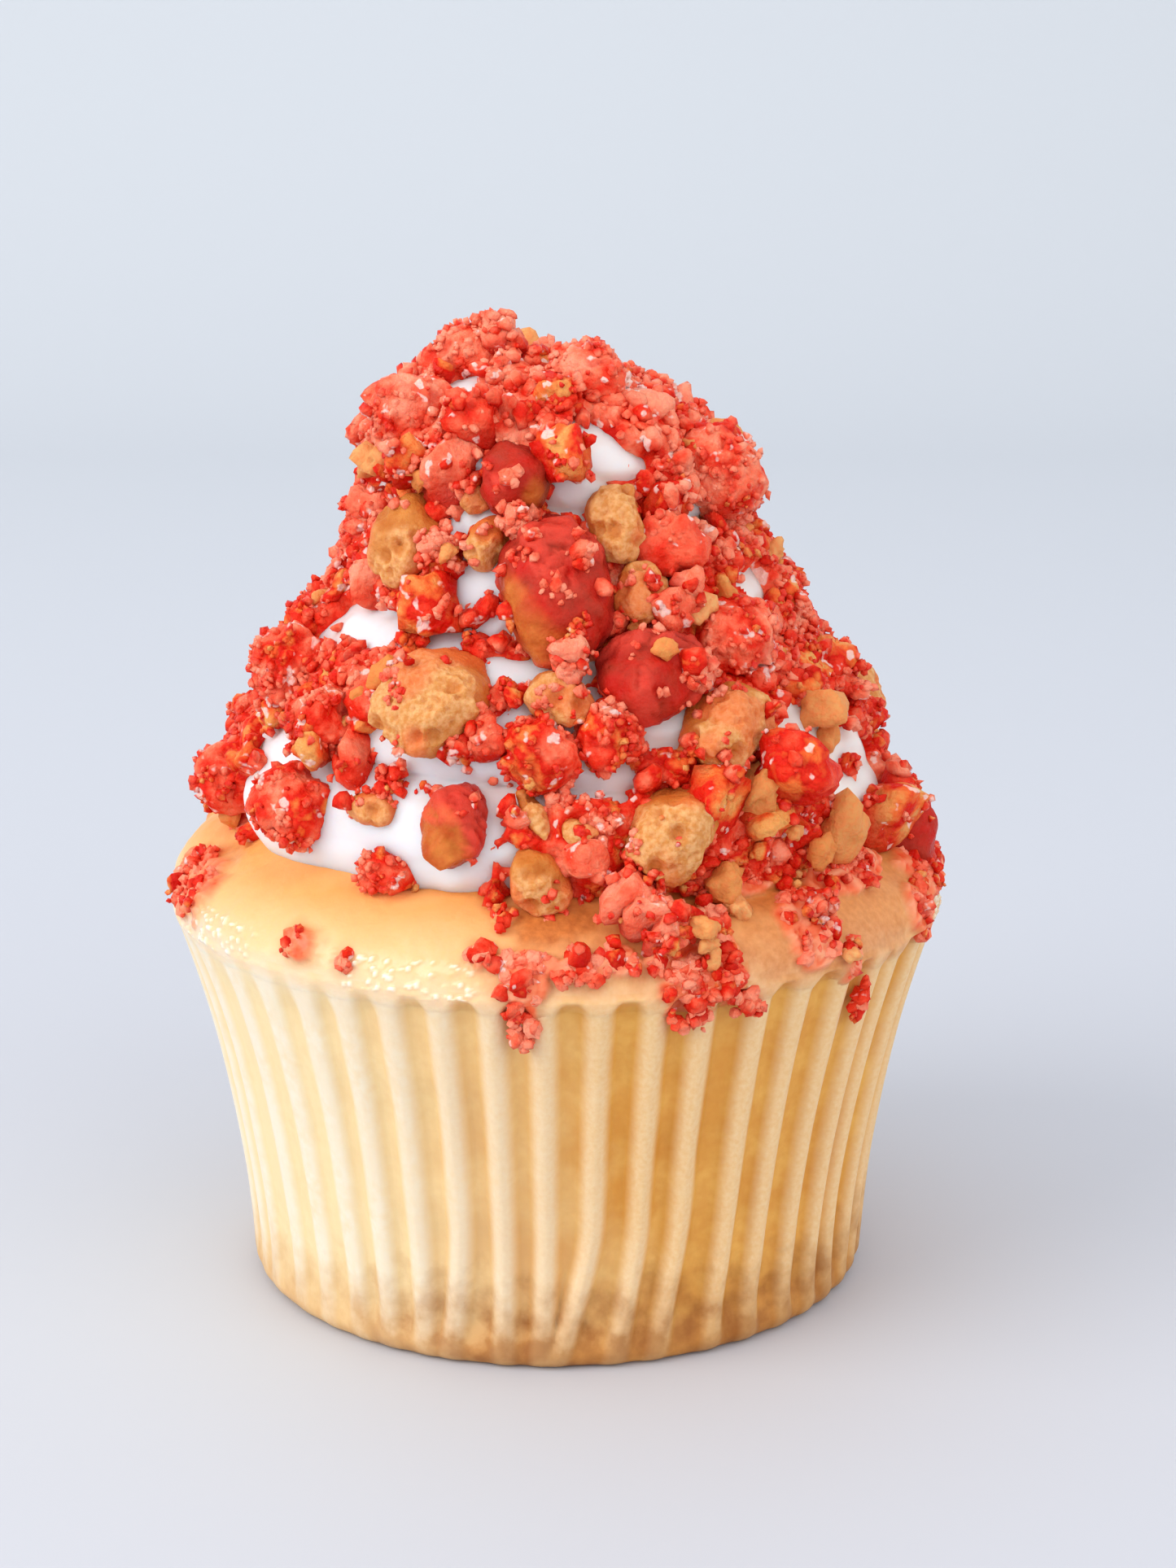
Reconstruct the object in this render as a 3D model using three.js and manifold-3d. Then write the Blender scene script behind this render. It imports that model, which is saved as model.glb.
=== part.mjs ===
// A cupcake in its pleated paper case: a plain cake with a whipped cream swirl under cookie crunch.
// Millimetres, +Z up. The origin is the centre of the flat base, and -Y is the front.
import * as THREE from 'three';
import { mergeVertices } from 'three/addons/utils/BufferGeometryUtils.js';
import { ImprovedNoise } from 'three/addons/math/ImprovedNoise.js';
import Module from 'manifold-3d';

const wasm = await Module();
wasm.setup();

// Driving dimensions

const gap = 0.3; // clear space between neighbouring pieces
const goldenAngle = 137.508;

const paper = {
  pleats: 48,
  crestAzimuth: 276.4, // of one pleat
  baseRadius: 25.0, // over the pleats
  footCorner: 0.9, // rounds the wall into the flat base
  rimRadius: 30.4,
  height: 29.8,
  flare: 1.7, // 1 is a straight wall, more keeps the foot upright
  pleatDepth: 1.0,
  valleyShare: 0.6, // part of each pleat that lies against the cake
  thickness: 0.45,
  levels: 3,
};

const cake = {
  rimRadius: 30.7,
  rimHeight: 31.4,
  topHeight: 40.0,
  shoulder: 0.65, // under 1 keeps the dome full towards its rim
  lipDrop: 1.2, // how far the overhang hangs below its widest line
  unevenness: 0.35,
  wallLevels: 3,
  domeLevels: 6,
  segments: 42,
};

const cream = {
  radii: [24.4, 25.2, 23.9, 21.2, 17.9, 14.8, 13.4, 11.2, 6.6, 1.2],
  heights: [37.0, 40.0, 44.5, 49.5, 54.5, 59.5, 64.5, 68.5, 71.4, 72.7],
  turnHeight: 9.5, // climb of the swirl in one turn
  grooveHeight: 53.8, // of one groove, at the front
  grooveDepth: 1.8,
  grooveStart: 41, // the grooves die out below and above these heights
  grooveEnd: 68,
  grooveFade: 3.5,
  lean: 4.2, // how far the tip hangs to the left
  leanStart: 62,
  segments: 56,
  levels: 19,
};

const crumbs = {
  layer: 1.1, // thickness of the crust of fine crumbs where the cream is covered
  relief: 1.5, // height of its bumps
  onCream: 21,
  onCake: 24,
  smallest: 1.2,
  largest: 2.5, // radius
  roughness: 0.3,
  spillScale: 0.65, // of the crumbs that lie on the cake
};

// Where the cream stays bare: azimuth and height, then half the patch's width in degrees and half its height
const bareCream = {
  foot: [231, 40.5, 30, 4.2],
  lowerStep: [246, 45.5, 12, 2.2],
  stepLeft: [214, 53.4, 12, 1.8],
  stepFront: [254, 52.2, 20, 2.0],
  stepRight: [288, 49.0, 14, 1.5],
  middle: [250, 59.3, 9, 3.4],
  tipLeft: [241, 69.5, 12, 3.0],
  tipFront: [293, 66.3, 14, 2.0],
  rightSide: [343, 42.0, 8, 2.6],
  backFoot: [70, 41.0, 16, 3.6],
  backStep: [120, 52.0, 14, 2.0],
  backTip: [60, 66.0, 16, 2.4],
};

// Stretches of the cake's shoulder where crunch has fallen: first and last azimuth, and how many crumbs
const spills = {
  right: [262, 352, 0.5],
  left: [176, 206, 0.14],
  back: [62, 128, 0.26],
  backRight: [10, 34, 0.1],
};

// Berry-sized pieces on the front: azimuth, height, width, length, thickness, turn from upright in degrees,
// and how far a piece that lies out on the cake stands off the cream
const frontPieces = {
  nugget_front: [271, 57.2, 7.6, 11.2, 6.4, 8],
  nugget_middle: [290.5, 51.1, 8.2, 6.6, 5.8, 20],
  nugget_right: [315, 53.0, 6.4, 6.8, 5.4, -30],
  nugget_low: [254, 41.5, 4.4, 6.0, 4.2, 12],
  nugget_upper_left: [218, 69.0, 5.6, 5.6, 4.8, 0],
  nugget_upper: [262, 65.6, 5.4, 5.4, 4.6, 25],
  nugget_upper_right: [336, 64.4, 6.0, 7.6, 5.2, 5],
  nugget_crown: [318, 71.0, 6.6, 5.2, 4.6, 80],
  nugget_peak: [196, 72.4, 6.0, 5.0, 4.4, 60],
  nugget_left: [202, 50.0, 5.4, 5.8, 4.8, 10],
  nugget_side: [222, 47.4, 5.2, 5.0, 4.4, 0],
  nugget_foot: [221, 41.3, 6.6, 5.6, 4.6, 15],
  nugget_fallen: [241, 38.2, 4.0, 3.6, 3.2, 0, 0.5],
  nugget_between: [280.5, 47.8, 4.6, 4.4, 3.8, 20],
  nugget_edge: [348, 37.6, 6.4, 5.8, 4.8, 70, 3.4],
  nugget_rim: [190, 40.6, 5.6, 5.2, 4.6, 0, 1.2],
  nugget_steps: [268, 46.8, 5.0, 5.4, 4.4, 70],
  cookie_left: [247.5, 49.4, 8.4, 8.0, 5.6, 30],
  cookie_long: [303, 47.6, 5.4, 9.4, 4.8, -55],
  cookie_low: [289, 41.0, 5.6, 9.0, 5.2, -52],
  cookie_upper_right: [288.5, 61.8, 4.6, 7.0, 4.2, -5],
  cookie_upper_left: [224, 60.0, 6.2, 7.2, 4.6, -8],
  cookie_middle: [271.5, 50.1, 5.0, 4.4, 3.8, 0],
  cookie_seam: [291.5, 56.9, 4.4, 5.2, 3.8, -35],
  cookie_flake: [251, 60.6, 4.0, 4.0, 3.2, 40],
  cookie_curl: [246, 64.2, 2.8, 3.9, 2.8, 80],
  cookie_foot: [238.5, 42.3, 2.6, 3.8, 2.6, 85],
  cookie_tucked: [275, 41.3, 2.6, 3.8, 2.6, 70],
  cookie_sliver: [267, 42.4, 1.8, 4.8, 1.9, 30],
  cookie_rim: [268, 38.4, 6.2, 4.4, 3.8, -75, 1.2],
};

const pieceLift = 0.28; // how far a piece's middle stands off the cream, in its own thickness

const backPieces = {
  count: 10,
  azimuths: [4, 172],
  heights: [40, 68],
  sizes: [4.8, 8.2],
};

// Small tools

const noiseField = new ImprovedNoise();

// An even draw from 0 to 1 that is the same for the same pair of numbers
function draw(index, channel) {
  const wave = Math.sin(index * 12.9898 + channel * 78.233) * 43758.5453;
  return wave - Math.floor(wave);
}

function drawBetween(low, high, index, channel) {
  return low + (high - low) * draw(index, channel);
}

function lumpiness(point, scale, shift) {
  return noiseField.noise(point.x * scale + shift, point.y * scale, point.z * scale);
}

// A closed geometry as a solid that can be cut
function solidOf(geometry) {
  const bare = geometry.index ? geometry : geometry.clone();
  bare.deleteAttribute('normal');
  bare.deleteAttribute('uv');
  const merged = mergeVertices(bare, 1e-4);
  const vertProperties = new Float32Array(merged.attributes.position.array);
  const triVerts = new Uint32Array(merged.index.array);
  return new wasm.Manifold(new wasm.Mesh({ numProp: 3, vertProperties, triVerts }));
}

function joined(solids) {
  return solids.reduce((sum, solid) => sum.add(solid));
}

function withoutScraps(solid) {
  const bodies = solid.decompose();
  return bodies.reduce((most, body) => (body.volume() > most.volume() ? body : most));
}

function meshOf(name, solid, material) {
  const { vertProperties, triVerts } = solid.getMesh();
  const geometry = new THREE.BufferGeometry();
  geometry.setAttribute('position', new THREE.BufferAttribute(vertProperties, 3));
  geometry.setIndex(new THREE.BufferAttribute(triVerts, 1));
  const mesh = new THREE.Mesh(geometry, material);
  mesh.name = name;
  return mesh;
}

// A closed skin over rings of points that run from the bottom up, with a fan at each end
function ringsToGeometry(rings) {
  const count = rings[0].length;
  const points = rings.flat();
  const faces = [];
  for (let level = 0; level + 1 < rings.length; level += 1) {
    for (let side = 0; side < count; side += 1) {
      const here = level * count + side;
      const next = level * count + ((side + 1) % count);
      faces.push(here, next, next + count);
      faces.push(here, next + count, here + count);
    }
  }
  const last = (rings.length - 1) * count;
  const bottom = points.length;
  const top = bottom + 1;
  points.push(centreOf(rings[0]), centreOf(rings[rings.length - 1]));
  for (let side = 0; side < count; side += 1) {
    const next = (side + 1) % count;
    faces.push(bottom, next, side);
    faces.push(top, last + side, last + next);
  }
  const geometry = new THREE.BufferGeometry().setFromPoints(points);
  geometry.setIndex(faces);
  return geometry;
}

function centreOf(points) {
  const sum = points.reduce((total, point) => total.add(point), new THREE.Vector3());
  return sum.divideScalar(points.length);
}

function onCircle(radius, degrees, height) {
  const angle = THREE.MathUtils.degToRad(degrees);
  return new THREE.Vector3(radius * Math.cos(angle), radius * Math.sin(angle), height);
}

// Paper case

function paperRadius(height) {
  const rise = Math.min(height / paper.height, 1);
  return paper.baseRadius + (paper.rimRadius - paper.baseRadius) * rise ** paper.flare;
}

function footInset(height) {
  return Math.max(paper.footCorner - height, 0);
}

// One ring of the pleated wall: each pleat has two points in its valley and one on its crest
function pleatRing(height, inset) {
  const step = 360 / paper.pleats;
  const crest = paperRadius(height) - footInset(height) - inset;
  const valley = crest - paper.pleatDepth;
  const halfCrest = (step * (1 - paper.valleyShare)) / 2;
  const ring = [];
  for (let pleat = 0; pleat < paper.pleats; pleat += 1) {
    const azimuth = paper.crestAzimuth + pleat * step;
    ring.push(onCircle(valley, azimuth - halfCrest, height));
    ring.push(onCircle(crest, azimuth, height));
    ring.push(onCircle(valley, azimuth + halfCrest, height));
  }
  return ring;
}

function pleatRings(lowest, highest, inset) {
  const rings = [];
  for (let level = 0; level <= paper.levels; level += 1) {
    const height = THREE.MathUtils.lerp(lowest, highest, level / paper.levels);
    rings.push(pleatRing(height, inset));
  }
  return rings;
}

function paperCaseSolid() {
  const wall = pleatRings(paper.footCorner, paper.height, 0);
  const outside = solidOf(ringsToGeometry([pleatRing(0, 0), ...wall]));
  const inside = solidOf(ringsToGeometry(pleatRings(paper.thickness, paper.height + 1, paper.thickness)));
  return outside.subtract(inside);
}

// Cake

function wallRadius(height) {
  return paperRadius(height) - paper.pleatDepth - paper.thickness - gap;
}

// The muffin top: turn is 0 on the widest line and 90 degrees at the middle of the top
function domePoint(turn) {
  const angle = THREE.MathUtils.degToRad(turn);
  const radius = cake.rimRadius * Math.cos(angle) ** cake.shoulder;
  const height = cake.rimHeight + (cake.topHeight - cake.rimHeight) * Math.sin(angle);
  return [radius, height];
}

function cakeProfile() {
  const profile = [];
  const floor = paper.thickness + gap;
  const wallTop = cake.rimHeight - cake.lipDrop - gap;
  for (let level = 0; level <= cake.wallLevels; level += 1) {
    const height = THREE.MathUtils.lerp(floor, wallTop, level / cake.wallLevels);
    profile.push([wallRadius(height) - footInset(height - gap), height]);
  }
  profile.push([cake.rimRadius - gap, cake.rimHeight - cake.lipDrop]);
  for (let level = 0; level < cake.domeLevels; level += 1) {
    profile.push(domePoint((90 * level) / cake.domeLevels));
  }
  return profile;
}

// The cake without crumbs, grown outwards by a margin where a neighbour is to keep clear
function cakeBody(margin = 0) {
  const rings = cakeProfile().map(([radius, height]) => {
    const ring = [];
    for (let side = 0; side < cake.segments; side += 1) {
      const point = onCircle(radius, (360 * side) / cake.segments, height);
      const free = THREE.MathUtils.smoothstep(height, cake.rimHeight - cake.lipDrop, cake.rimHeight + 1);
      const bump = lumpiness(point, 0.09, 3) * cake.unevenness * free;
      ring.push(onCircle(radius + bump + margin, (360 * side) / cake.segments, height + bump + margin));
    }
    return ring;
  });
  return solidOf(ringsToGeometry(rings));
}

// Cream

const creamOutline = new THREE.SplineCurve(
  cream.heights.map((height, place) => new THREE.Vector2(cream.radii[place], height)),
);
const outlineSamples = creamOutline.getPoints(cream.heights.length * 12);

function outlineRadius(height) {
  const above = outlineSamples.findIndex((sample) => sample.y > height);
  if (above < 1) {
    return outlineSamples[above < 0 ? outlineSamples.length - 1 : 0].x;
  }
  const low = outlineSamples[above - 1];
  const high = outlineSamples[above];
  return THREE.MathUtils.mapLinear(height, low.y, high.y, low.x, high.x);
}

// The swirl's radius: full between the grooves, and drawn in along a groove that climbs to the left
function swirlRadius(azimuth, height) {
  const turns = (height - cream.grooveHeight) / cream.turnHeight + (azimuth - 270) / 360;
  const fullness = Math.sqrt(Math.abs(Math.sin(Math.PI * turns)));
  const begun = THREE.MathUtils.smoothstep(height, cream.grooveStart, cream.grooveStart + cream.grooveFade);
  const ended = THREE.MathUtils.smoothstep(height, cream.grooveEnd - cream.grooveFade, cream.grooveEnd);
  return outlineRadius(height) - cream.grooveDepth * begun * (1 - ended) * (1 - fullness);
}

// How much of the crumb layer covers a place: 0 in the middle of a bare patch and 1 away from them all
function coverage(azimuth, height) {
  const nearest = Object.values(bareCream).map(([middle, level, halfWidth, halfHeight]) => {
    const across = (((azimuth - middle + 540) % 360) - 180) / halfWidth;
    return Math.hypot(across, (height - level) / halfHeight);
  });
  return THREE.MathUtils.smoothstep(Math.min(...nearest), 0.8, 1.2);
}

function swirlPoint(azimuth, height, outwards = 0) {
  const point = onCircle(swirlRadius(azimuth, height) + outwards, azimuth, height);
  const tip = cream.heights[cream.heights.length - 1];
  const rise = Math.max((height - cream.leanStart) / (tip - cream.leanStart), 0);
  point.x -= cream.lean * rise ** 1.5;
  return point;
}

// The swirl without crumbs, grown outwards by a margin where a neighbour is to keep clear
function creamBody(margin = 0) {
  const foot = cream.heights[0] - 1.5;
  const tip = cream.heights[cream.heights.length - 1];
  const rings = [];
  for (let level = 0; level <= cream.levels; level += 1) {
    const height = THREE.MathUtils.lerp(foot, tip, level / cream.levels);
    const ring = [];
    for (let side = 0; side < cream.segments; side += 1) {
      const azimuth = (360 * side) / cream.segments;
      const bump = lumpiness(swirlPoint(azimuth, height), 0.37, 5);
      const layer = coverage(azimuth, height) * (crumbs.layer + crumbs.relief * bump);
      ring.push(swirlPoint(azimuth, height, layer + margin));
    }
    rings.push(ring);
  }
  return solidOf(ringsToGeometry(rings));
}

// Crunch: every piece is an uneven lump, set in the frame of the surface under it

// Outward normal of the swirl, with the level direction and the climbing direction beside it
function swirlFrame(azimuth, height) {
  const here = swirlPoint(azimuth, height);
  const around = swirlPoint(azimuth + 4, height).sub(swirlPoint(azimuth - 4, height)).normalize();
  const climb = swirlPoint(azimuth, height + 1.5).sub(swirlPoint(azimuth, height - 1.5)).normalize();
  const normal = around.clone().cross(climb).normalize();
  return { here, around, climb: normal.clone().cross(around), normal };
}

function lump(frame, size, turn, seed, detail, margin = 0) {
  const geometry = new THREE.IcosahedronGeometry(1, detail);
  geometry.deleteAttribute('normal');
  geometry.deleteAttribute('uv');
  const shape = mergeVertices(geometry, 1e-4);
  const position = shape.attributes.position;
  const angle = THREE.MathUtils.degToRad(turn);
  const across = frame.around.clone().applyAxisAngle(frame.normal, angle);
  const along = frame.climb.clone().applyAxisAngle(frame.normal, angle);
  const point = new THREE.Vector3();
  for (let place = 0; place < position.count; place += 1) {
    point.fromBufferAttribute(position, place);
    const bump = 1 + crumbs.roughness * lumpiness(point, 1.3, seed * 7.1);
    const placed = frame.here.clone();
    placed.addScaledVector(across, point.x * (size.x * bump + margin));
    placed.addScaledVector(along, point.y * (size.y * bump + margin));
    placed.addScaledVector(frame.normal, point.z * (size.z * bump + margin));
    position.setXYZ(place, placed.x, placed.y, placed.z);
  }
  return solidOf(shape);
}

function pieceLump(piece, margin) {
  return lump(piece.frame, piece.size, piece.turn, piece.seed, 1, margin);
}

// The back's pieces are drawn at random and kept where they clear each other
function backPieceNumbers() {
  const kept = {};
  const places = [];
  for (let index = 0; places.length < backPieces.count; index += 1) {
    const azimuth = drawBetween(...backPieces.azimuths, index, 1);
    const climb = 1 - Math.sqrt(1 - draw(index, 2));
    const height = THREE.MathUtils.lerp(...backPieces.heights, climb);
    const width = drawBetween(...backPieces.sizes, index, 3) * (places.length < 6 ? 1 : 0.75);
    const place = swirlPoint(azimuth, height);
    if (places.every((other) => other.distanceTo(place) > width + 2)) {
      const kind = places.length % 2 ? 'cookie' : 'nugget';
      const length = width * drawBetween(0.8, 1.3, index, 4);
      const turn = drawBetween(-90, 90, index, 5);
      places.push(place);
      kept[`${kind}_back_${places.length}`] = [azimuth, height, width, length, width * 0.7, turn];
    }
  }
  return kept;
}

function listPieces() {
  const all = { ...frontPieces, ...backPieceNumbers() };
  return Object.entries(all).map(([name, numbers], seed) => {
    const [azimuth, height, width, length, thickness, turn, lift = thickness * pieceLift] = numbers;
    const frame = swirlFrame(azimuth, height);
    frame.here.addScaledVector(frame.normal, lift);
    const size = new THREE.Vector3(width / 2, length / 2, thickness / 2);
    return { name, frame, size, turn, seed };
  });
}

function crumbSize(index) {
  const radius = THREE.MathUtils.lerp(crumbs.smallest, crumbs.largest, draw(index, 11) ** 1.5);
  return new THREE.Vector3(
    radius * drawBetween(0.9, 1.3, index, 12),
    radius * drawBetween(0.8, 1.1, index, 13),
    radius * drawBetween(0.8, 1.0, index, 14),
  );
}

function isClear(place, radius, pieces) {
  return pieces.every(({ frame, size }) => {
    return frame.here.distanceTo(place) > radius * 1.3 + Math.max(size.x, size.y) * 1.1;
  });
}

function creamCrumbs(pieces) {
  const lowest = cream.heights[0] + 3;
  const highest = cream.heights[cream.heights.length - 1] - 1;
  const solids = [];
  for (let index = 0; solids.length < crumbs.onCream; index += 1) {
    const azimuth = (index * goldenAngle) % 360;
    const height = THREE.MathUtils.lerp(lowest, highest, 1 - Math.sqrt(1 - draw(index, 10)));
    const frame = swirlFrame(azimuth, height);
    const size = crumbSize(index);
    if (coverage(azimuth, height) === 1 && isClear(frame.here, size.x, pieces)) {
      frame.here.addScaledVector(frame.normal, crumbs.layer);
      solids.push(lump(frame, size, draw(index, 15) * 180, index, 0));
    }
  }
  return joined(solids);
}

function cakeCrumbs(pieces) {
  const solids = [];
  for (const [first, last, share] of Object.values(spills)) {
    const count = Math.round(share * crumbs.onCake);
    for (let place = 0; place < count; place += 1) {
      const index = 500 + first + place;
      const azimuth = THREE.MathUtils.lerp(first, last, (place + draw(index, 20)) / count);
      const [radius, height] = domePoint(drawBetween(5, 26, index, 21));
      const normal = onCircle(0.7, azimuth, 0.7);
      const around = onCircle(1, azimuth + 90, 0);
      const climb = normal.clone().cross(around);
      const here = onCircle(radius + 0.2, azimuth, height + 0.2);
      const size = crumbSize(index).multiplyScalar(crumbs.spillScale);
      if (isClear(here, size.x, pieces)) {
        solids.push(lump({ here, around, climb, normal }, size, draw(index, 22) * 180, index, 0));
      }
    }
  }
  return joined(solids);
}

// Materials

function finish(color, roughness) {
  return new THREE.MeshStandardMaterial({ color, roughness, metalness: 0 });
}

const paperFinish = finish(0xf3dfc0, 0.5);
const cakeFinish = finish(0xf2c688, 0.7);
const creamFinish = finish(0xf6f4f2, 0.45);
const nuggetFinish = finish(0xc8372c, 0.6);
const cookieFinish = finish(0xe0a55c, 0.8);

// Assembly: the berry-sized pieces sit on the cream, each cut to clear what lies under and before it

const group = new THREE.Group();
const pieces = listPieces();
const cakeSolid = cakeBody().add(cakeCrumbs(pieces));
let taken = cakeBody(gap).add(creamBody(gap));

const pieceMeshes = pieces.map((piece) => {
  const solid = withoutScraps(pieceLump(piece, 0).subtract(taken));
  taken = taken.add(pieceLump(piece, gap));
  return meshOf(piece.name, solid, piece.name.startsWith('cookie') ? cookieFinish : nuggetFinish);
});

const creamSolid = creamBody().subtract(cakeBody(gap)).add(creamCrumbs(pieces));

group.add(meshOf('paper_case', paperCaseSolid(), paperFinish));
group.add(meshOf('cake', cakeSolid, cakeFinish));
group.add(meshOf('frosting', withoutScraps(creamSolid), creamFinish));
group.add(...pieceMeshes);

export default group;
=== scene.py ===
import itertools
import math

import bmesh
import bpy
import numpy as np
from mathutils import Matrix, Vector


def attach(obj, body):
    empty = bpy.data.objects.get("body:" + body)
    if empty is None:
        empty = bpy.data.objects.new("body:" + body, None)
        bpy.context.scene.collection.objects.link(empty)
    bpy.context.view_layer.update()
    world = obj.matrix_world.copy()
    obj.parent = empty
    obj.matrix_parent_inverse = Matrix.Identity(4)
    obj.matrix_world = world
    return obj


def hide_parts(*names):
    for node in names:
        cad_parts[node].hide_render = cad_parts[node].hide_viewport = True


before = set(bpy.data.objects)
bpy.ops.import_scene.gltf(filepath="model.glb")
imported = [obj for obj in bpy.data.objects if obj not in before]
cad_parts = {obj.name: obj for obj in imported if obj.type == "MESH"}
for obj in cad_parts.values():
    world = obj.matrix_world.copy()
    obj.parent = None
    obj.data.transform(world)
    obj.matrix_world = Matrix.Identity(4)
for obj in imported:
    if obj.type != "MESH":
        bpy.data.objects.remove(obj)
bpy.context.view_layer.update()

millimetre = 0.001
print("frame loaded:", len(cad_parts), "nodes")


# Numbers and noise

def smoothstep(value, low, high):
    part = np.clip((value - low) / (high - low), 0, 1)
    return part * part * (3 - 2 * part)


def hashed(cells, seed):
    # an even draw from 0 to 1 for each whole-numbered cell
    mixed = (cells * np.array([73856093, 19349663, 83492791])).sum(-1) + seed * 668265263
    mixed = (mixed ^ (mixed >> 13)) * 1274126177
    mixed = mixed ^ (mixed >> 16)
    return (mixed & 0xFFFFF) / 0xFFFFF


def softNoise(points, cell, seed=0):
    # smooth unevenness from -1 to 1, in lumps of about the cell's size
    scaled = np.asarray(points) / cell
    corner = np.floor(scaled).astype(np.int64)
    part = scaled - corner
    ease = part * part * (3 - 2 * part)
    total = np.zeros(len(scaled))
    for step in itertools.product((0, 1), repeat=3):
        weight = np.prod(np.where(step, ease, 1 - ease), axis=1)
        total += weight * hashed(corner + np.array(step), seed)
    return total * 2 - 1


def cellNoise(points, cell, seed=0):
    # distance to the nearest of the scattered seeds, in cells
    scaled = np.asarray(points) / cell
    corner = np.floor(scaled).astype(np.int64)
    nearest = np.full(len(scaled), 9.0)
    for step in itertools.product((-1, 0, 1), repeat=3):
        home = corner + np.array(step)
        place = home + np.stack([hashed(home, seed + axis) for axis in range(3)], -1)
        nearest = np.minimum(nearest, np.linalg.norm(scaled - place, axis=1))
    return nearest


def chunkRelief(points, cell, seed=0):
    # crushed relief from 0 to 1: the highest of many turned blocks, one at each scattered seed
    scaled = np.asarray(points) / cell
    corner = np.floor(scaled).astype(np.int64)
    highest = np.zeros(len(scaled))
    for step in itertools.product((-1, 0, 1), repeat=3):
        home = corner + np.array(step)
        draws = np.stack([hashed(home, seed + channel) for channel in range(10)], -1)
        away = scaled - home - draws[:, :3]
        sides = [np.abs((away * unit(draws[:, first:first + 3] - 0.5)).sum(1)) for first in (3, 5, 7)]
        block = np.minimum(0.4 + 0.6 * draws[:, 9], (0.78 - np.max(sides, axis=0)) * 1.9)
        highest = np.maximum(highest, block)
    return np.minimum(highest, 1)


def unit(vectors):
    return vectors / np.maximum(np.linalg.norm(vectors, axis=-1, keepdims=True), 1e-9)


def turnFrom(middle, azimuth):
    # degrees from one azimuth to another, the shorter way round
    return (azimuth - middle + 540) % 360 - 180


def fullTurn(columns):
    return np.arange(columns)[None] * 360 / columns


def around(azimuth, radius, height):
    angle, radius, height = np.broadcast_arrays(np.radians(azimuth), radius, height)
    return np.stack([radius * np.cos(angle), radius * np.sin(angle), height], -1)


# Meshes

def addObject(name, data):
    item = bpy.data.objects.new(name, data)
    bpy.context.scene.collection.objects.link(item)
    return item


def makePiece(name, points, faces, material, nodes, marks, smooth=True):
    faces = np.asarray(faces, np.int32)
    mesh = bpy.data.meshes.new(name)
    mesh.vertices.add(len(points))
    mesh.vertices.foreach_set("co", (np.asarray(points) * millimetre).astype(np.float32).ravel())
    mesh.loops.add(faces.size)
    mesh.loops.foreach_set("vertex_index", faces.ravel())
    mesh.polygons.add(len(faces))
    mesh.polygons.foreach_set("loop_start", np.arange(0, faces.size, 3, dtype=np.int32))
    mesh.polygons.foreach_set("use_smooth", np.full(len(faces), smooth))
    mesh.update(calc_edges=True)
    for mark, values in marks.items():
        layer = mesh.attributes.new(mark, "FLOAT", "POINT")
        layer.data.foreach_set("value", np.asarray(values, np.float32))
    mesh.materials.append(material)
    piece = addObject(name, mesh)
    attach(piece, "root")
    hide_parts(*nodes)
    print(name, len(faces), "triangles")


def withTips(values, tip=0.0):
    # a mark on rings of points, with its value at the two points that close them
    return np.append(values, [tip, tip])


def closedRings(rings):
    # rings of points as one closed skin of triangles, each end drawn together in its middle
    rows, columns = rings.shape[:2]
    points = np.concatenate([rings.reshape(-1, 3), rings[[0, -1]].mean(1)])
    row = np.arange(rows - 1)[:, None] * columns
    column = np.arange(columns)
    beside = (column + 1) % columns
    low, lowBeside = (row + column).ravel(), (row + beside).ravel()
    high, highBeside = low + columns, lowBeside + columns
    tip = np.full(columns, rows * columns)
    top = (rows - 1) * columns
    faces = [
        (low, lowBeside, highBeside), (low, highBeside, high),
        (tip, beside, column), (tip + 1, top + column, top + beside),
    ]
    return points, np.concatenate([np.stack(corners, -1) for corners in faces])


def ball(detail):
    # points and faces of a round ball of triangles
    shape = bmesh.new()
    bmesh.ops.create_icosphere(shape, subdivisions=detail, radius=1)
    points = np.array([vertex.co for vertex in shape.verts])
    faces = np.array([[vertex.index for vertex in face.verts] for face in shape.faces])
    shape.free()
    return points, faces


def randomTurns(random, count):
    # rotation matrices spread evenly over all directions
    quaternion = unit(random.normal(size=(count, 4)))
    w, x, y, z = quaternion.T
    rows = [
        [1 - 2 * (y * y + z * z), 2 * (x * y - z * w), 2 * (x * z + y * w)],
        [2 * (x * y + z * w), 1 - 2 * (x * x + z * z), 2 * (y * z - x * w)],
        [2 * (x * z - y * w), 2 * (y * z + x * w), 1 - 2 * (x * x + y * y)],
    ]
    return np.moveaxis(np.array(rows), -1, 0)


def chipped(random, directions, count, planes):
    # how far each direction reaches in a chunk broken off along a few random planes
    normals = unit(random.normal(size=(count, planes, 3)))
    depths = random.uniform(0.62, 1.05, (count, planes, 1))
    facing = np.einsum("npk,dk->npd", normals, directions)
    return np.minimum((depths / np.maximum(facing, 0.2)).min(1), 1.25)


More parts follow.
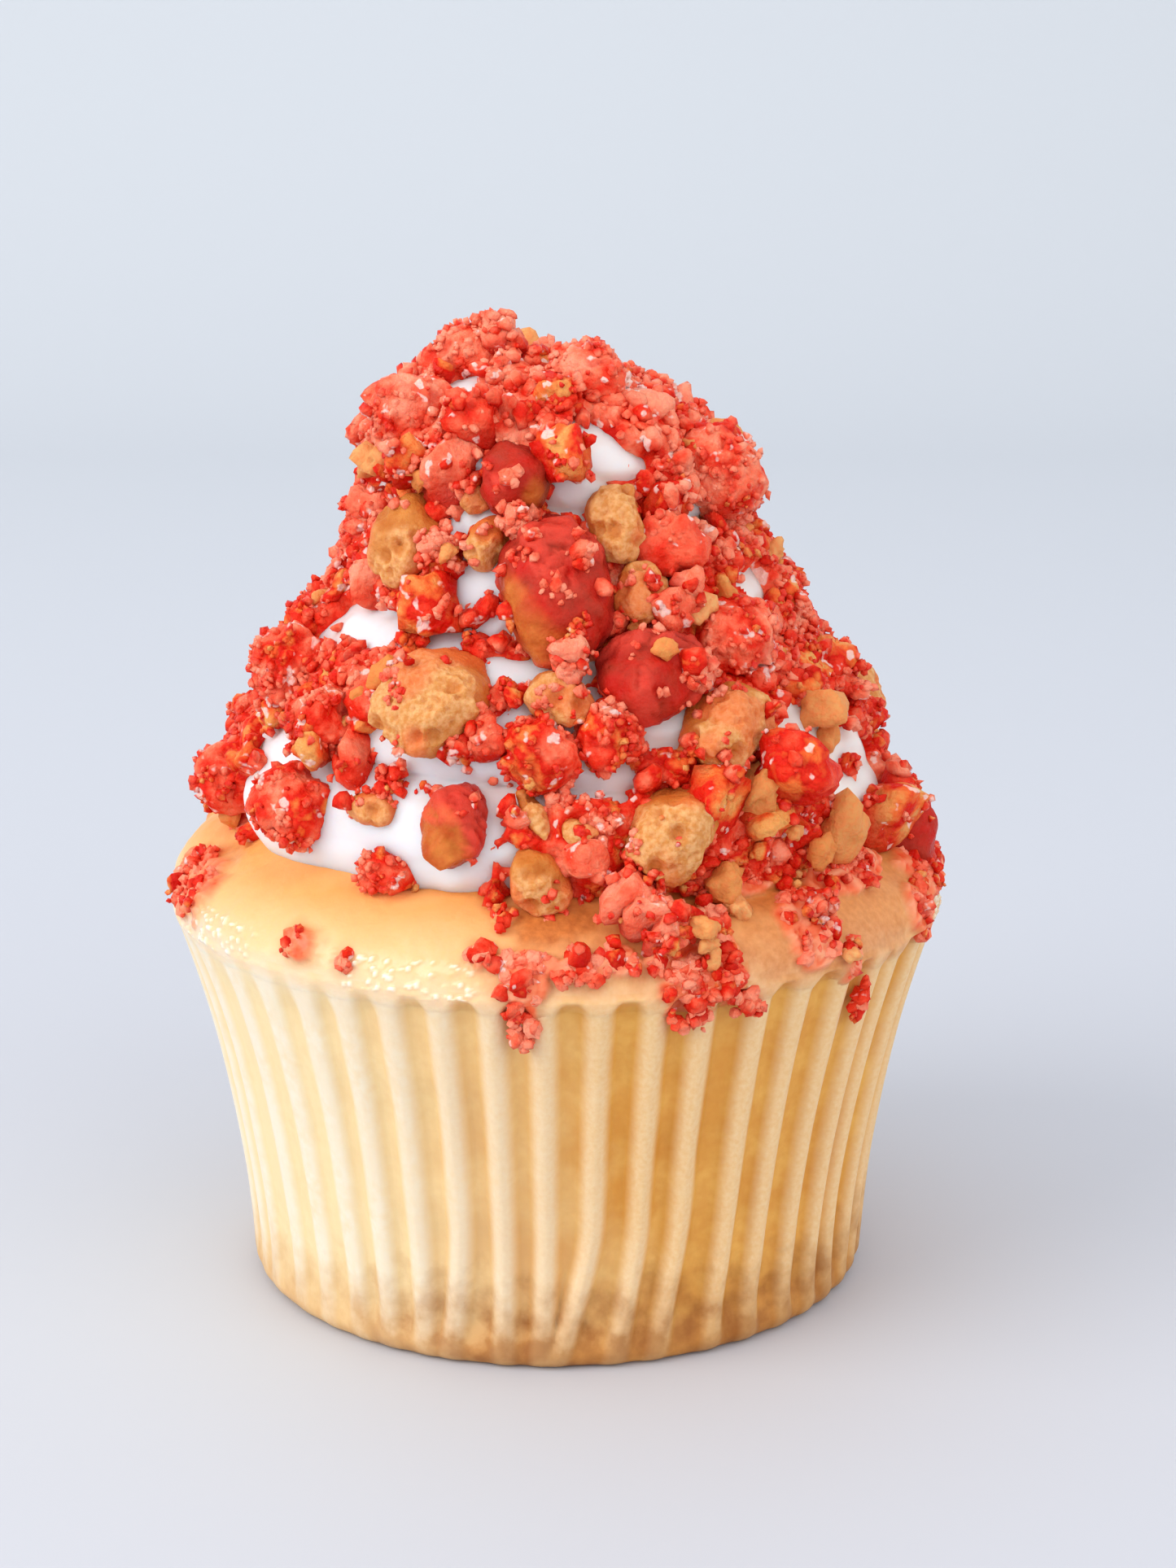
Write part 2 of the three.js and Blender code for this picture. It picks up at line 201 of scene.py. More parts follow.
def scatter(random, places, sizes, detail, roughness, knobs=0.0, planes=0):
    # one uneven ball at each place, all as one mesh, with the number of the ball that each point is in
    base, faces = ball(detail)
    count = len(places)
    shape = np.repeat(base[None], count, axis=0)
    flat = shape.reshape(-1, 3) * 1.2 + np.repeat(random.uniform(-90, 90, (count, 3)), len(base), axis=0)
    bump = 1 + roughness * (softNoise(flat, 0.9) + 0.5 * softNoise(flat, 0.4, 5))
    if knobs:
        bump += knobs * (chunkRelief(flat, 0.8, 6) - 0.5)
    bump = bump.reshape(count, -1)
    if planes:
        bump = bump * chipped(random, base, count, planes)
    shape = shape * bump[..., None] * np.asarray(sizes)[:, None, :]
    shape = np.einsum("nij,nkj->nki", randomTurns(random, count), shape)
    points = (shape + np.asarray(places)[:, None, :]).reshape(-1, 3)
    allFaces = (faces[None] + np.arange(count)[:, None, None] * len(base)).reshape(-1, 3)
    return points, allFaces, np.repeat(np.arange(count), len(base))


# Shaders

class Flow:
    # a shader socket that can stand in sums
    def __init__(self, shader, socket):
        self.shader = shader
        self.socket = socket

    def joined(self, operation, first, second):
        return self.shader.add("ShaderNodeMath", {"operation": operation}, {0: first, 1: second})

    def __add__(self, other):
        return self.joined("ADD", self, other)

    def __sub__(self, other):
        return self.joined("SUBTRACT", self, other)

    def __rsub__(self, other):
        return self.joined("SUBTRACT", other, self)

    def __mul__(self, other):
        return self.joined("MULTIPLY", self, other)

    __radd__ = __add__
    __rmul__ = __mul__


class Shader:
    # gloss is the specular level, and glow the light that bleeds through, by colour and in millimetres
    def __init__(self, name, ior=1.4, gloss=0.3, glow=0.0, bleed=(1.0, 0.45, 0.2), bleedDepth=1.0):
        self.material = bpy.data.materials.new(name)
        self.material.use_nodes = True
        self.tree = self.material.node_tree
        self.surface = self.tree.nodes["Principled BSDF"]
        self.place = self.add("ShaderNodeTexCoord", output="Object")
        constants = {
            "IOR": ior, "Specular IOR Level": gloss, "Subsurface Weight": glow, "Subsurface Radius": bleed,
            "Subsurface Scale": bleedDepth * millimetre,
        }
        for socket, value in constants.items():
            self.surface.inputs[socket].default_value = value

    def feed(self, socket, value):
        if isinstance(value, Flow):
            self.tree.links.new(value.socket, socket)
        else:
            socket.default_value = value

    def add(self, kind, settings=None, inputs=None, output=0):
        node = self.tree.nodes.new(kind)
        for setting, value in (settings or {}).items():
            if setting == "stops":
                self.setStops(node.color_ramp, value)
            else:
                setattr(node, setting, value)
        for socket, value in (inputs or {}).items():
            self.feed(node.inputs[socket], value)
        return Flow(self, node.outputs[output])

    def setStops(self, ramp, stops):
        while len(ramp.elements) < len(stops):
            ramp.elements.new(0.5)
        for element, (position, colour) in zip(ramp.elements, stops):
            element.position = position
            element.color = (*colour, 1)

    def mark(self, name):
        return self.add("ShaderNodeAttribute", {"attribute_name": name}, output="Fac")

    def mottle(self, size, detail=3, low=0.35, high=0.65):
        # soft noise from 0 to 1 with spots of about the given size in millimetres
        inputs = {"Vector": self.place, "Scale": 1 / (size * millimetre), "Detail": detail}
        noise = self.add("ShaderNodeTexNoise", inputs=inputs)
        return self.span(noise, low, high)

    def span(self, value, low, high, fromZero=0.0, toOne=1.0):
        inputs = {"Value": value, "From Min": low, "From Max": high, "To Min": fromZero, "To Max": toOne}
        return self.add("ShaderNodeMapRange", {"clamp": True}, inputs)

    def mix(self, factor, first, second):
        first, second = [colour if isinstance(colour, Flow) else (*colour, 1) for colour in (first, second)]
        return self.add("ShaderNodeMix", {"data_type": "RGBA"}, {0: factor, 6: first, 7: second}, output=2)

    def over(self, colour, *layers):
        # a colour with others laid over it, each by its own factor
        for factor, layer in layers:
            colour = self.mix(factor, colour, layer)
        return colour

    def ramp(self, value, *stops):
        return self.add("ShaderNodeValToRGB", {"stops": stops}, {"Fac": value})

    def along(self, axis):
        # the place along an axis in millimetres
        inputs = {"Vector": self.place}
        return self.add("ShaderNodeSeparateXYZ", inputs=inputs, output=axis) * (1 / millimetre)

    def coat(self, weight, roughness, ior):
        for socket, value in (("Weight", weight), ("Roughness", roughness), ("IOR", ior)):
            self.feed(self.surface.inputs["Coat " + socket], value)

    def paint(self, colour, roughness, relief=None, depth=0.1, strength=1.0):
        self.feed(self.surface.inputs["Base Color"], colour)
        self.feed(self.surface.inputs["Roughness"], roughness)
        if relief:
            inputs = {"Height": relief, "Strength": strength, "Distance": depth * millimetre}
            self.feed(self.surface.inputs["Normal"], self.add("ShaderNodeBump", inputs=inputs))
        return self.material


# Paper case

caseSpec = {
    "pleats": 48,
    "crestAzimuth": 276.4,
    "unevenSpacing": 1.1,     # degrees
    "frontShifts": [1.0, 1.2, 1.2, 0.6, 0.3, 0.4, 0.2, -0.2, 0.0, 0.3, 0.0, 1.4, 1.1, 1.6, 1.6],
    "firstShift": -8,         # pleats from the crest above to the first of the shifts
    "baseRadius": 25.0,
    "rimRadius": 30.4,
    "height": 29.8,
    "flare": 1.7,
    "pleatDepth": 1.05,
    "crest": 0.10,            # half the flat of a crest, and where its flank ends, in pleats
    "flank": 0.42,
    "archHeight": 31.0,       # where the valleys close under the cake's edge
    "archDrop": 1.0,
    "lean": 2.2,              # degrees that the pleats wander at their foot
    "frontLeans": [0.0, 0.4, 0.6, 0.0, 0.0, -3.2, -0.6, -1.0, -6.6, -4.0, -3.8, -2.0, -1.0, 0.0, 0.0],
    "leanHeight": 12.0,
    "slackAzimuth": 203,      # where the paper has opened out and its pleats are shallow
    "slackCore": 12,
    "slackReach": 60,
    "slackLoss": 0.7,         # how much of their depth they lose there
    "footCorner": 1.5,
    "paper": 0.2,
    "pointsPerPleat": 16,
    "rows": 90,
}


def caseRadius(height):
    spec = caseSpec
    rise = np.clip(height / spec["height"], 0, None)
    return spec["baseRadius"] + (spec["rimRadius"] - spec["baseRadius"]) * rise ** spec["flare"]


def pleatShifts():
    # how far each crest is off its even place at the top and at the foot
    spec = caseSpec
    random = np.random.default_rng(39)
    shifts = random.uniform(-1, 1, spec["pleats"]) * spec["unevenSpacing"]
    seen = np.arange(len(spec["frontShifts"])) + spec["firstShift"]
    leans = random.uniform(-1, 1, spec["pleats"]) * spec["lean"]
    shifts[seen] = spec["frontShifts"]
    leans[seen] = spec["frontLeans"]
    return shifts, leans


def slackness(azimuth):
    away = np.abs(turnFrom(caseSpec["slackAzimuth"], azimuth))
    return 1 - smoothstep(away, caseSpec["slackCore"], caseSpec["slackReach"])


def pleatRise(azimuth, height):
    # 1 on a crest and 0 in the middle of a valley
    spec = caseSpec
    shifts, sway = pleatShifts()
    pitch = 360 / spec["pleats"]
    turn = azimuth - spec["crestAzimuth"]
    low = np.clip(1 - height / spec["leanHeight"], 0, 1) ** 1.5
    nearest = np.round(turn / pitch).astype(int)
    away = np.full(np.broadcast(azimuth, height).shape, 1.0)
    for neighbour in (-1, 0, 1):
        pleat = nearest + neighbour
        number = pleat % spec["pleats"]
        away = np.minimum(away, np.abs(turn - pleat * pitch - shifts[number] - sway[number] * low) / pitch)
    rounded = 0.12 * np.clip(away / spec["crest"], 0, 1) ** 2
    return (1 - smoothstep(away, spec["crest"], spec["flank"])) * (1 - rounded)


def caseOutside(azimuth, height):
    # distance from the axis, and how far the paper stands out of its valley there
    spec = caseSpec
    rise = pleatRise(azimuth, height)
    archTop = spec["archHeight"] - spec["archDrop"] * rise
    slack = slackness(azimuth)
    closed = smoothstep(height, archTop - 0.9 - 3.5 * slack, archTop)
    flat = around(azimuth, 26, height).reshape(-1, 3)
    depth = spec["pleatDepth"] * (1 + 0.2 * softNoise(flat, 3.5, 4).reshape(rise.shape))
    depth = depth * (0.22 + 0.78 * smoothstep(height, 0.3, 4.5)) * (1 - spec["slackLoss"] * slack)
    valley = (1 - rise) * (1 - closed)
    corner = np.clip(1 - height / spec["footCorner"], 0, 1)
    foot = spec["footCorner"] * (1 - np.sqrt(1 - corner ** 2)) * 0.9
    wander = 0.14 * softNoise(flat, 11, 8).reshape(rise.shape) * smoothstep(height, 0, 5)
    return caseRadius(height) - depth * valley - foot + wander, 1 - (1 - rise) * (1 - 0.45 * closed)


def makeCase():
    spec = caseSpec
    columns = spec["pleats"] * spec["pointsPerPleat"]
    azimuth = fullTurn(columns)
    climb = np.linspace(0, 1, spec["rows"])[:, None]         # rows are closer at the foot and the rim
    height = np.interp(climb, [0, 0.15, 0.7, 1], [0, 3, 26, spec["height"] + 0.3])
    radius, rise = caseOutside(azimuth, height)
    outside = around(azimuth, radius, height)
    floorRows = np.linspace(0.15, 0.97, 5)[:, None]
    under = around(azimuth, radius[:1] * floorRows, 0)
    inner = slice(None, None, -4)             # the lining needs fewer rows, from the top down
    lining = around(azimuth, radius - spec["paper"], np.maximum(height, spec["paper"]))[inner]
    rings = np.concatenate([under, outside, lining])
    lift = np.concatenate([0 * under[..., 0], rise, rise[inner]])
    points, faces = closedRings(rings)
    makePiece("paperCase", points, faces, paperFinish(), ["paper_case"], {"rise": withTips(lift)})


def wallColour(shader, blotch):
    # golden where the paper lies against the cake, pale where it stands off, and paler on the window side,
    # partly dry paper and partly a painted highlight
    rise = shader.span(shader.mark("rise"), 0.15, 0.85)
    fibre = shader.mottle(0.35, 3, 0.3, 0.7)
    pores = shader.mottle(0.9)
    valley = shader.mix(blotch, (0.74, 0.33, 0.058), (0.86, 0.46, 0.11))
    valley = shader.mix(pores * 0.35, valley, (0.66, 0.25, 0.038))
    crest = shader.mix(fibre, (0.86, 0.52, 0.24), (0.90, 0.60, 0.32))
    soaked = shader.mix(rise, valley, crest)
    dryAndWindowLit = shader.mix(rise, (0.93, 0.70, 0.39), (0.91, 0.78, 0.60))
    dryAndWindowLit = shader.mix(pores * blotch * 0.5, dryAndWindowLit, (0.88, 0.61, 0.32))
    # towards the window the paper turns paler, partly dry paper and partly a painted highlight
    side = shader.along("X") + shader.along("Y") * 0.25 + shader.along("Z") * 0.35
    return shader.mix(shader.span(side - blotch * 4.0, 3.5, -18.5), soaked, dryAndWindowLit)


def paperFinish():
    shader = Shader("soakedPaper", glow=0.2, bleed=(0.8, 0.5, 0.3))
    height = shader.along("Z")
    blotch = shader.mottle(4.5, 3, 0.35, 0.68)
    patch = shader.mottle(2.2, 4)
    rise = shader.span(shader.mark("rise"), 0.1, 0.75)
    wall = wallColour(shader, blotch)
    valley = shader.mix(patch, (0.33, 0.11, 0.020), (0.55, 0.23, 0.052))
    crest = shader.mix(patch, (0.42, 0.18, 0.050), (0.60, 0.31, 0.105))
    brown = shader.mix(rise, valley, crest)
    # the foot is lighter and its brown band lower on the window side, a painted highlight
    light = shader.span(shader.along("X") - patch * 3.0, -6.0, -19.0)
    brown = shader.mix(light * 0.75, brown, (0.82, 0.50, 0.22))
    low = shader.span(height + patch * 2.6 + rise * 0.6 + light, 9.6, 3.6)
    colour = shader.mix(low * 0.92, wall, brown)
    relief = shader.mottle(0.5, 4, 0.2, 0.8)
    return shader.paint(colour, shader.span(blotch, 0, 1, 0.42, 0.6), relief, 0.05, 0.5)


# Cake

cakeSpec = {
    "rimRadius": 30.7,
    "rimHeight": 31.4,
    "topHeight": 40.0,
    "shoulder": 0.65,
    "wallInset": 1.75,        # from the pleats' crests to the cake's wall
    "floor": 0.75,
    "skirt": 29.2,            # how far down the batter has run over the paper
    "skirtThickness": 0.08,
    "bubble": 0.62,           # baked bubbles at the edge
    "bubbleRelief": 0.2,
    "bubbleBand": (30.2, 31.0, 33.0, 34.0),   # heights where they begin, are full, thin out and end
    "bubbleAzimuth": 250,     # where they are close together
    "grit": 0.95,             # grains of the pasted crunch, and how high they stand
    "gritRelief": 0.6,
    "columns": 768,
    "domeRows": 80,
}

# crunch fallen on the cake and over its edge: azimuth, distance up from the rim, half-sizes and lumps
spills = [
    (200, 3.0, 8, 2.5, 24), (233.0, 2.0, 2.4, 1.0, 6), (240.8, 1.4, 0.5, 0.8, 2),
    (260.2, 3.0, 0.9, 0.9, 3), (266.4, 2.2, 3.6, 0.9, 11), (266.2, 0.6, 2.6, 1.2, 9),
    (266.0, -1.8, 1.6, 1.6, 7), (266.0, -3.6, 1.0, 0.7, 3), (263.0, 6.3, 1.4, 0.6, 2),
    (274.0, 1.8, 3.4, 0.8, 9), (279.0, 2.4, 2.4, 1.2, 5), (286.0, 5.4, 3.4, 2.6, 22),
    (293.6, 4.0, 2.4, 2.4, 13), (287.0, 2.2, 4.0, 1.4, 15), (291.0, 0.2, 6.0, 1.4, 20),
    (289.0, -2.0, 3.0, 1.0, 7), (296.6, -2.0, 2.0, 1.4, 6), (302.0, 8.4, 9.0, 1.2, 22),
    (309.4, 4.2, 4.4, 2.0, 18), (308.6, 1.4, 3.2, 1.4, 9), (315.4, -0.4, 1.0, 1.6, 6),
    (319.6, -3.8, 0.7, 1.4, 4), (324.0, 6.6, 9.0, 1.6, 20), (336.0, 1.0, 4.0, 2.0, 12),
    (346.0, 3.4, 7.0, 2.2, 22), (4.0, 3.0, 9, 2.6, 24), (20, 4.0, 8, 2.6, 14), (96, 4.2, 34, 2.6, 54),
    (140, 1.0, 7, 4.2, 18), (58, 2.0, 8, 3.6, 16), (158, 4.5, 9, 1.8, 8), (38, 5.0, 6, 1.6, 6),
]

# colour that has run into the cake, with painted shade under the cream's edge and under the crumbs: azimuth,
# distance up from the rim, half-sizes and strength
stainsAndShade = [
    (270, 5.2, 9, 2.4, 1.0), (260, 8.7, 22, 0.9, 0.7), (281, 2.6, 5, 2.6, 0.6), (300, 6.5, 22, 2.2, 0.8),
    (314, 3.0, 26, 5.0, 0.55), (340, 4.0, 12, 3.4, 0.6), (95, 5.0, 36, 3.0, 0.8),
]


def domeProfile(turn):
    angle = np.radians(turn)
    radius = cakeSpec["rimRadius"] * np.cos(angle) ** cakeSpec["shoulder"]
    return radius, cakeSpec["rimHeight"] + (cakeSpec["topHeight"] - cakeSpec["rimHeight"]) * np.sin(angle)


def shellProfile():
    # the outline up the case's wall, over the cake's rim and up its dome, and the distance from the rim
    wallHeight = np.linspace(20, cakeSpec["rimHeight"] - 0.4, 30)
    radius, height = domeProfile(np.linspace(0, 60, 60))
    outline = np.concatenate([
        np.stack([caseRadius(wallHeight), wallHeight], -1),
        np.stack([radius, height], -1),
    ])
    travel = np.append(0, np.cumsum(np.linalg.norm(np.diff(outline, axis=0), axis=1)))
    return outline, travel - travel[len(wallHeight)]


def shellFrame(azimuth, travelled):
    outline, travel = shellProfile()
    radius = np.interp(travelled, travel, outline[:, 0])
    height = np.interp(travelled, travel, outline[:, 1])
    ahead = np.stack([np.interp(travelled + 0.5, travel, outline[:, axis]) for axis in (0, 1)], -1)
    slope = ahead - np.stack([radius, height], -1)
    normal = around(azimuth, slope[:, 1], 0) - np.array([0, 0, 1.0]) * slope[:, :1]
    return around(azimuth, radius, height), unit(normal)


def spreadOver(points, areas, inner, outer):
    # 1 inside the nearest area: its azimuth, distance up from the rim, half-sizes and strength
    azimuth = np.degrees(np.arctan2(points[:, 1], points[:, 0]))
    outline, travel = shellProfile()
    travelled = np.interp(points[:, 2], outline[:, 1], travel)
    ragged = 0.3 * softNoise(points, 1.6, 21) + 0.15 * softNoise(points, 0.7, 22)
    cover = np.zeros(len(points))
    for middle, up, width, length, strength in areas:
        away = np.hypot(turnFrom(middle, azimuth) / width, (travelled - up) / length)
        cover = np.maximum(cover, strength * (1 - smoothstep(away + ragged, inner, outer)))
    return cover


def makeCake():
    spec = cakeSpec
    azimuth = fullTurn(spec["columns"])
    inside = np.linspace(spec["floor"], spec["skirt"] - 0.2, 6)[:, None]
    skirt = np.linspace(spec["skirt"], spec["rimHeight"], 26)[:, None]
    cover = spec["skirtThickness"] * (smoothstep(skirt, spec["skirt"], spec["skirt"] + 1.4) - 0.25)
    frayed = np.minimum(softNoise(around(azimuth, 26, 0).reshape(-1, 3), 2.2, 31)[None], 0)
    skirtRadius, skirtRise = caseOutside(azimuth, skirt)
    skirtRadius = skirtRadius + cover + 0.03 * frayed * (1 - smoothstep(skirt, 29.4, 30.4))
    widest = smoothstep(skirt, spec["rimHeight"] - 0.8, spec["rimHeight"])
    skirtRadius = skirtRadius * (1 - widest) + spec["rimRadius"] * widest
    domeRadius, domeHeight = domeProfile(np.linspace(0, 88, spec["domeRows"])[1:, None])
    rings = np.concatenate([
        around(azimuth, caseRadius(inside) - spec["wallInset"], inside),
        around(azimuth, skirtRadius, skirt),
        around(azimuth, domeRadius, domeHeight),
    ])
    rise = np.ones(rings.shape[:2])
    rise[len(inside):len(inside) + len(skirt)] = skirtRise
    flat = rings.reshape(-1, 3)
    relief, marks = cakeRelief(flat)
    outwards = unit(flat * np.array([1, 1, 0])) + np.array([0, 0, 0.6])
    moved = flat + outwards * relief[:, None]
    points, faces = closedRings(moved.reshape(rings.shape))
    # stains round the fallen crunch, darkened also as a painted shade under it
    soaksAndShade = [
        (middle, up, width + 1.5, length + 0.8, min(0.25 + count / 25, 0.8))
        for middle, up, width, length, count in spills
    ]
    marks |= {"soak": spreadOver(points, stainsAndShade + soaksAndShade, 0.5, 1.3), "rise": withTips(rise, 1)}
    makePiece("cakeBody", points, faces, cakeFinish(), ["cake"], marks)


def cakeRelief(flat):
    # swollen dome, bubbles at the edge and pasted crunch
    spec = cakeSpec
    height = flat[:, 2]
    turned = turnFrom(spec["bubbleAzimuth"], np.degrees(np.arctan2(flat[:, 1], flat[:, 0])))
    begin, full, thin, end = spec["bubbleBand"]
    nearEdge = smoothstep(height, begin, full) * (1 - smoothstep(height, thin, end))
    close = 1 - smoothstep(np.abs(turned), 7, 13)
    nearEdge *= np.maximum(close, smoothstep(softNoise(flat, 6, 15), 0.1, 0.4))
    bubbles = smoothstep(0.5 - cellNoise(flat, spec["bubble"], 14), 0, 0.3) * nearEdge
    swell = 0.4 * softNoise(flat, 9, 2) + 0.12 * softNoise(flat, 2.4, 3) + 0.05 * softNoise(flat, 0.8, 6)
    free = smoothstep(height, spec["rimHeight"] - 1.2, spec["rimHeight"] + 0.8)
    paste = spreadOver(flat, [(*area, 1.0) for *area, count in spills], 1.0, 1.35)
    paste *= smoothstep(height, 29.0, 29.6)
    grit = chunkRelief(flat, spec["grit"], 25)
    relief = swell * free + spec["bubbleRelief"] * bubbles * (1 - paste)
    relief += paste * (0.1 + spec["gritRelief"] * grit)
    # the tops of the bubbles are painted pale, a painted glint
    bubbleGlints = smoothstep(bubbles, 0.4, 0.9)
    made = {"wet": nearEdge, "bubble": bubbleGlints, "paste": paste, "grit": grit}
    return relief, {mark: withTips(values) for mark, values in made.items()}


def cakeFinish():
    shader = Shader("bakedCake", gloss=0.35, glow=0.3, bleed=(1.0, 0.5, 0.2), bleedDepth=1.5)
    height = shader.along("Z")
    blotch = shader.mottle(5, 3, 0.35, 0.7)
    speck = shader.mottle(0.5, 3, 0.3, 0.7)
    # paler on the window side and deeper orange away from it, a painted highlight and painted shade
    pale = shader.mix(shader.span(shader.along("X"), -12.0, 14.0), (0.93, 0.62, 0.31), (0.84, 0.40, 0.15))
    pale = shader.mix(speck * 0.5, pale, (0.95, 0.62, 0.35))
    warm = shader.mix(blotch, (0.86, 0.36, 0.09), (0.93, 0.44, 0.15))
    lift = shader.span(height + blotch * 1.5, 32.6, 37.0)
    colour = shader.mix(lift, pale, warm)
    rim = shader.span(height + blotch * 0.8, 30.2, 32.8)
    colour = shader.mix(rim, wallColour(shader, blotch), colour)
    # stained cake, darker also as a painted shade under the cream and the crumbs
    stain = shader.mix(speck, (0.43, 0.09, 0.008), (0.64, 0.18, 0.030))
    crunch = shader.ramp(
        shader.mark("grit") * 0.7 + shader.mottle(1.6, 3, 0.3, 0.7) * 0.3,
        (0.15, (0.74, 0.035, 0.006)), (0.4, (0.88, 0.10, 0.025)),
        (0.62, (0.93, 0.20, 0.080)), (0.9, (0.97, 0.35, 0.19)),
    )
    # the bubble mark lays a painted glint over the bubble tops
    colour = shader.over(
        colour, (shader.mark("soak") * 0.9, stain), (shader.mark("bubble") * 0.85, (1.0, 0.94, 0.78)),
        (shader.mark("paste"), crunch),
    )
    relief = shader.mottle(0.7, 4, 0.25, 0.75)
    shader.coat(shader.mark("wet"), 0.1, 1.4)
    return shader.paint(colour, shader.span(blotch, 0, 1, 0.38, 0.6), relief, 0.08, 0.5)


# Whipped cream

creamSpec = {
    "radii": [24.4, 25.2, 23.9, 21.2, 17.9, 14.8, 13.4, 11.2, 6.6, 1.2],
    "heights": [37.0, 40.0, 44.5, 49.5, 54.5, 59.5, 64.5, 68.5, 71.4, 72.7],
    "turnHeight": 9.5,
    "grooveHeight": 53.8,
    "grooveDepth": 1.8,
    "grooveStart": 41.0,
    "grooveEnd": 68.0,
    "grooveFade": 3.5,
    "lean": 4.2,              # millimetres that the tip leans to the left
    "leanStart": 62.0,
    "folds": 0.4,
    "ripple": 0.45,
    "patchRise": 0.4,         # how far the bare cream stands out between the crumbs
    "columns": 300,
    "rows": 150,
}

# where the cream stays bare: azimuth, height, half the width in degrees and half the height
bareCream = [
    (243, 70.8, 15, 1.2), (245, 67.6, 9, 1.6), (294, 66.9, 12, 1.5), (279, 64.4, 11, 1.6),
    (313, 61.8, 15, 1.5), (299, 60.0, 5, 2.4), (251, 58.4, 9, 5.4), (240, 61.8, 7, 1.5),
    (221, 54.1, 17, 1.6), (246, 54.0, 13, 1.7), (265, 51.9, 14, 1.7), (277, 50.4, 6, 1.1),
    (261, 48.6, 5, 4.2), (291, 48.8, 12, 1.3), (246, 45.8, 17, 2.5), (209, 44.9, 10, 1.2),
    (231, 40.2, 34, 4.3), (273, 44.8, 11, 1.6), (338, 42.4, 13, 3.0), (324, 46.2, 8, 1.7),
    (321, 48.8, 4, 0.9), (333, 56.8, 8, 1.5), (199, 63.7, 10, 0.9), (341, 47.3, 6, 0.8),
    (70, 41.0, 18, 3.6), (115, 52.0, 16, 2.0), (60, 65.5, 16, 2.2), (30, 55.0, 8, 3.0),
    (150, 44.0, 12, 2.2), (100, 60.5, 10, 1.6), (12, 48.0, 9, 1.5), (165, 57.0, 9, 1.4),
]


def splinePoints(radii, heights, steps=12):
    points = np.array([radii, heights]).T
    last = len(points) - 1
    out = []
    for index in range(last):
        before, start, end, after = points[[max(index - 1, 0), index, index + 1, min(index + 2, last)]]
        leave, arrive = (end - before) / 2, (after - start) / 2
        for part in np.arange(steps) / steps:
            cubic = (2 * start - 2 * end + leave + arrive) * part ** 3
            out.append(cubic + (3 * end - 3 * start - 2 * leave - arrive) * part ** 2 + leave * part + start)
    return np.array(out + [points[-1]])


creamOutline = splinePoints(creamSpec["radii"], creamSpec["heights"])


def swirlPoint(azimuth, height, outwards=0.0):
    spec = creamSpec
    turns = (height - spec["grooveHeight"]) / spec["turnHeight"] + (azimuth - 270) / 360
    fullness = np.sqrt(np.abs(np.sin(np.pi * turns)))
    begun = smoothstep(height, spec["grooveStart"], spec["grooveStart"] + spec["grooveFade"])
    ended = smoothstep(height, spec["grooveEnd"] - spec["grooveFade"], spec["grooveEnd"])
    radius = np.interp(height, creamOutline[:, 1], creamOutline[:, 0])
    radius = radius - spec["grooveDepth"] * begun * (1 - ended) * (1 - fullness)
    points = around(azimuth, radius + outwards, height)
    rise = np.clip((height - spec["leanStart"]) / (spec["heights"][-1] - spec["leanStart"]), 0, None)
    points[..., 0] -= spec["lean"] * rise ** 1.5
    return points


def swirlFrame(azimuth, height):
    level = unit(swirlPoint(azimuth + 3, height) - swirlPoint(azimuth - 3, height))
    climb = swirlPoint(azimuth, height + 1.2) - swirlPoint(azimuth, height - 1.2)
    normal = unit(np.cross(level, climb))
    return swirlPoint(azimuth, height), normal


def bareMargin(azimuth, height):
    # about how many millimetres a place is outside the nearest bare patch, and under 0 inside it
    return np.min([
        (np.hypot(turnFrom(middle, azimuth) / width, (height - level) / tall) - 1) * tall
        for middle, level, width, tall in bareCream
    ], axis=0)


def makeCream():
    spec = creamSpec
    height = np.linspace(spec["heights"][0] - 0.8, spec["heights"][-1], spec["rows"])[:, None]
    azimuth, height = np.broadcast_arrays(fullTurn(spec["columns"]), height)
    base = swirlPoint(azimuth, height)
    flat = base.reshape(-1, 3)
    slope = np.radians(azimuth.ravel()) * 3.4 + flat[:, 2] * 0.9 + 1.6 * softNoise(flat, 6, 11)
    folds = spec["folds"] * np.abs(np.sin(slope)) * (0.5 + 0.5 * softNoise(flat, 5, 14))
    ripple = spec["ripple"] * softNoise(flat * np.array([1, 1, 1.6]), 7, 12) + 0.16 * softNoise(flat, 2.2, 13)
    margin = bareMargin(azimuth, height) + 0.3 * softNoise(flat, 1.5, 15).reshape(azimuth.shape)
    patches = spec["patchRise"] * smoothstep(-margin, -0.2, 0.7)
    rings = swirlPoint(azimuth, height, (ripple + folds).reshape(azimuth.shape) + patches)
    points, faces = closedRings(rings)
    # the mark near the crumbs carries a real pink stain and a painted warm shade
    marks = {"near": withTips(smoothstep(margin, -1.0, 0.1), 1)}
    makePiece("creamSwirl", points, faces, creamFinish(), ["frosting"], marks)


def creamFinish():
    shader = Shader("whippedCream", ior=1.35, gloss=0.35, glow=0.7, bleed=(1.0, 0.62, 0.5), bleedDepth=4)
    stain = shader.mottle(3.2, 4, 0.52, 0.8)
    # warmer towards the right, a painted shade, and warmer near the crumbs, stain with painted shade
    colour = shader.over(
        (0.84, 0.84, 0.86), (shader.span(shader.along("X"), -6.0, 12.0), (0.86, 0.79, 0.74)),
        (shader.mark("near") * 0.3, (0.90, 0.68, 0.56)), (stain * 0.3, (0.88, 0.66, 0.54)),
    )
    relief = shader.mottle(1.3, 4, 0.25, 0.75)
    return shader.paint(colour, shader.mottle(4, 2, 0.2, 0.8) * 0.2 + 0.35, relief, 0.08, 0.4)


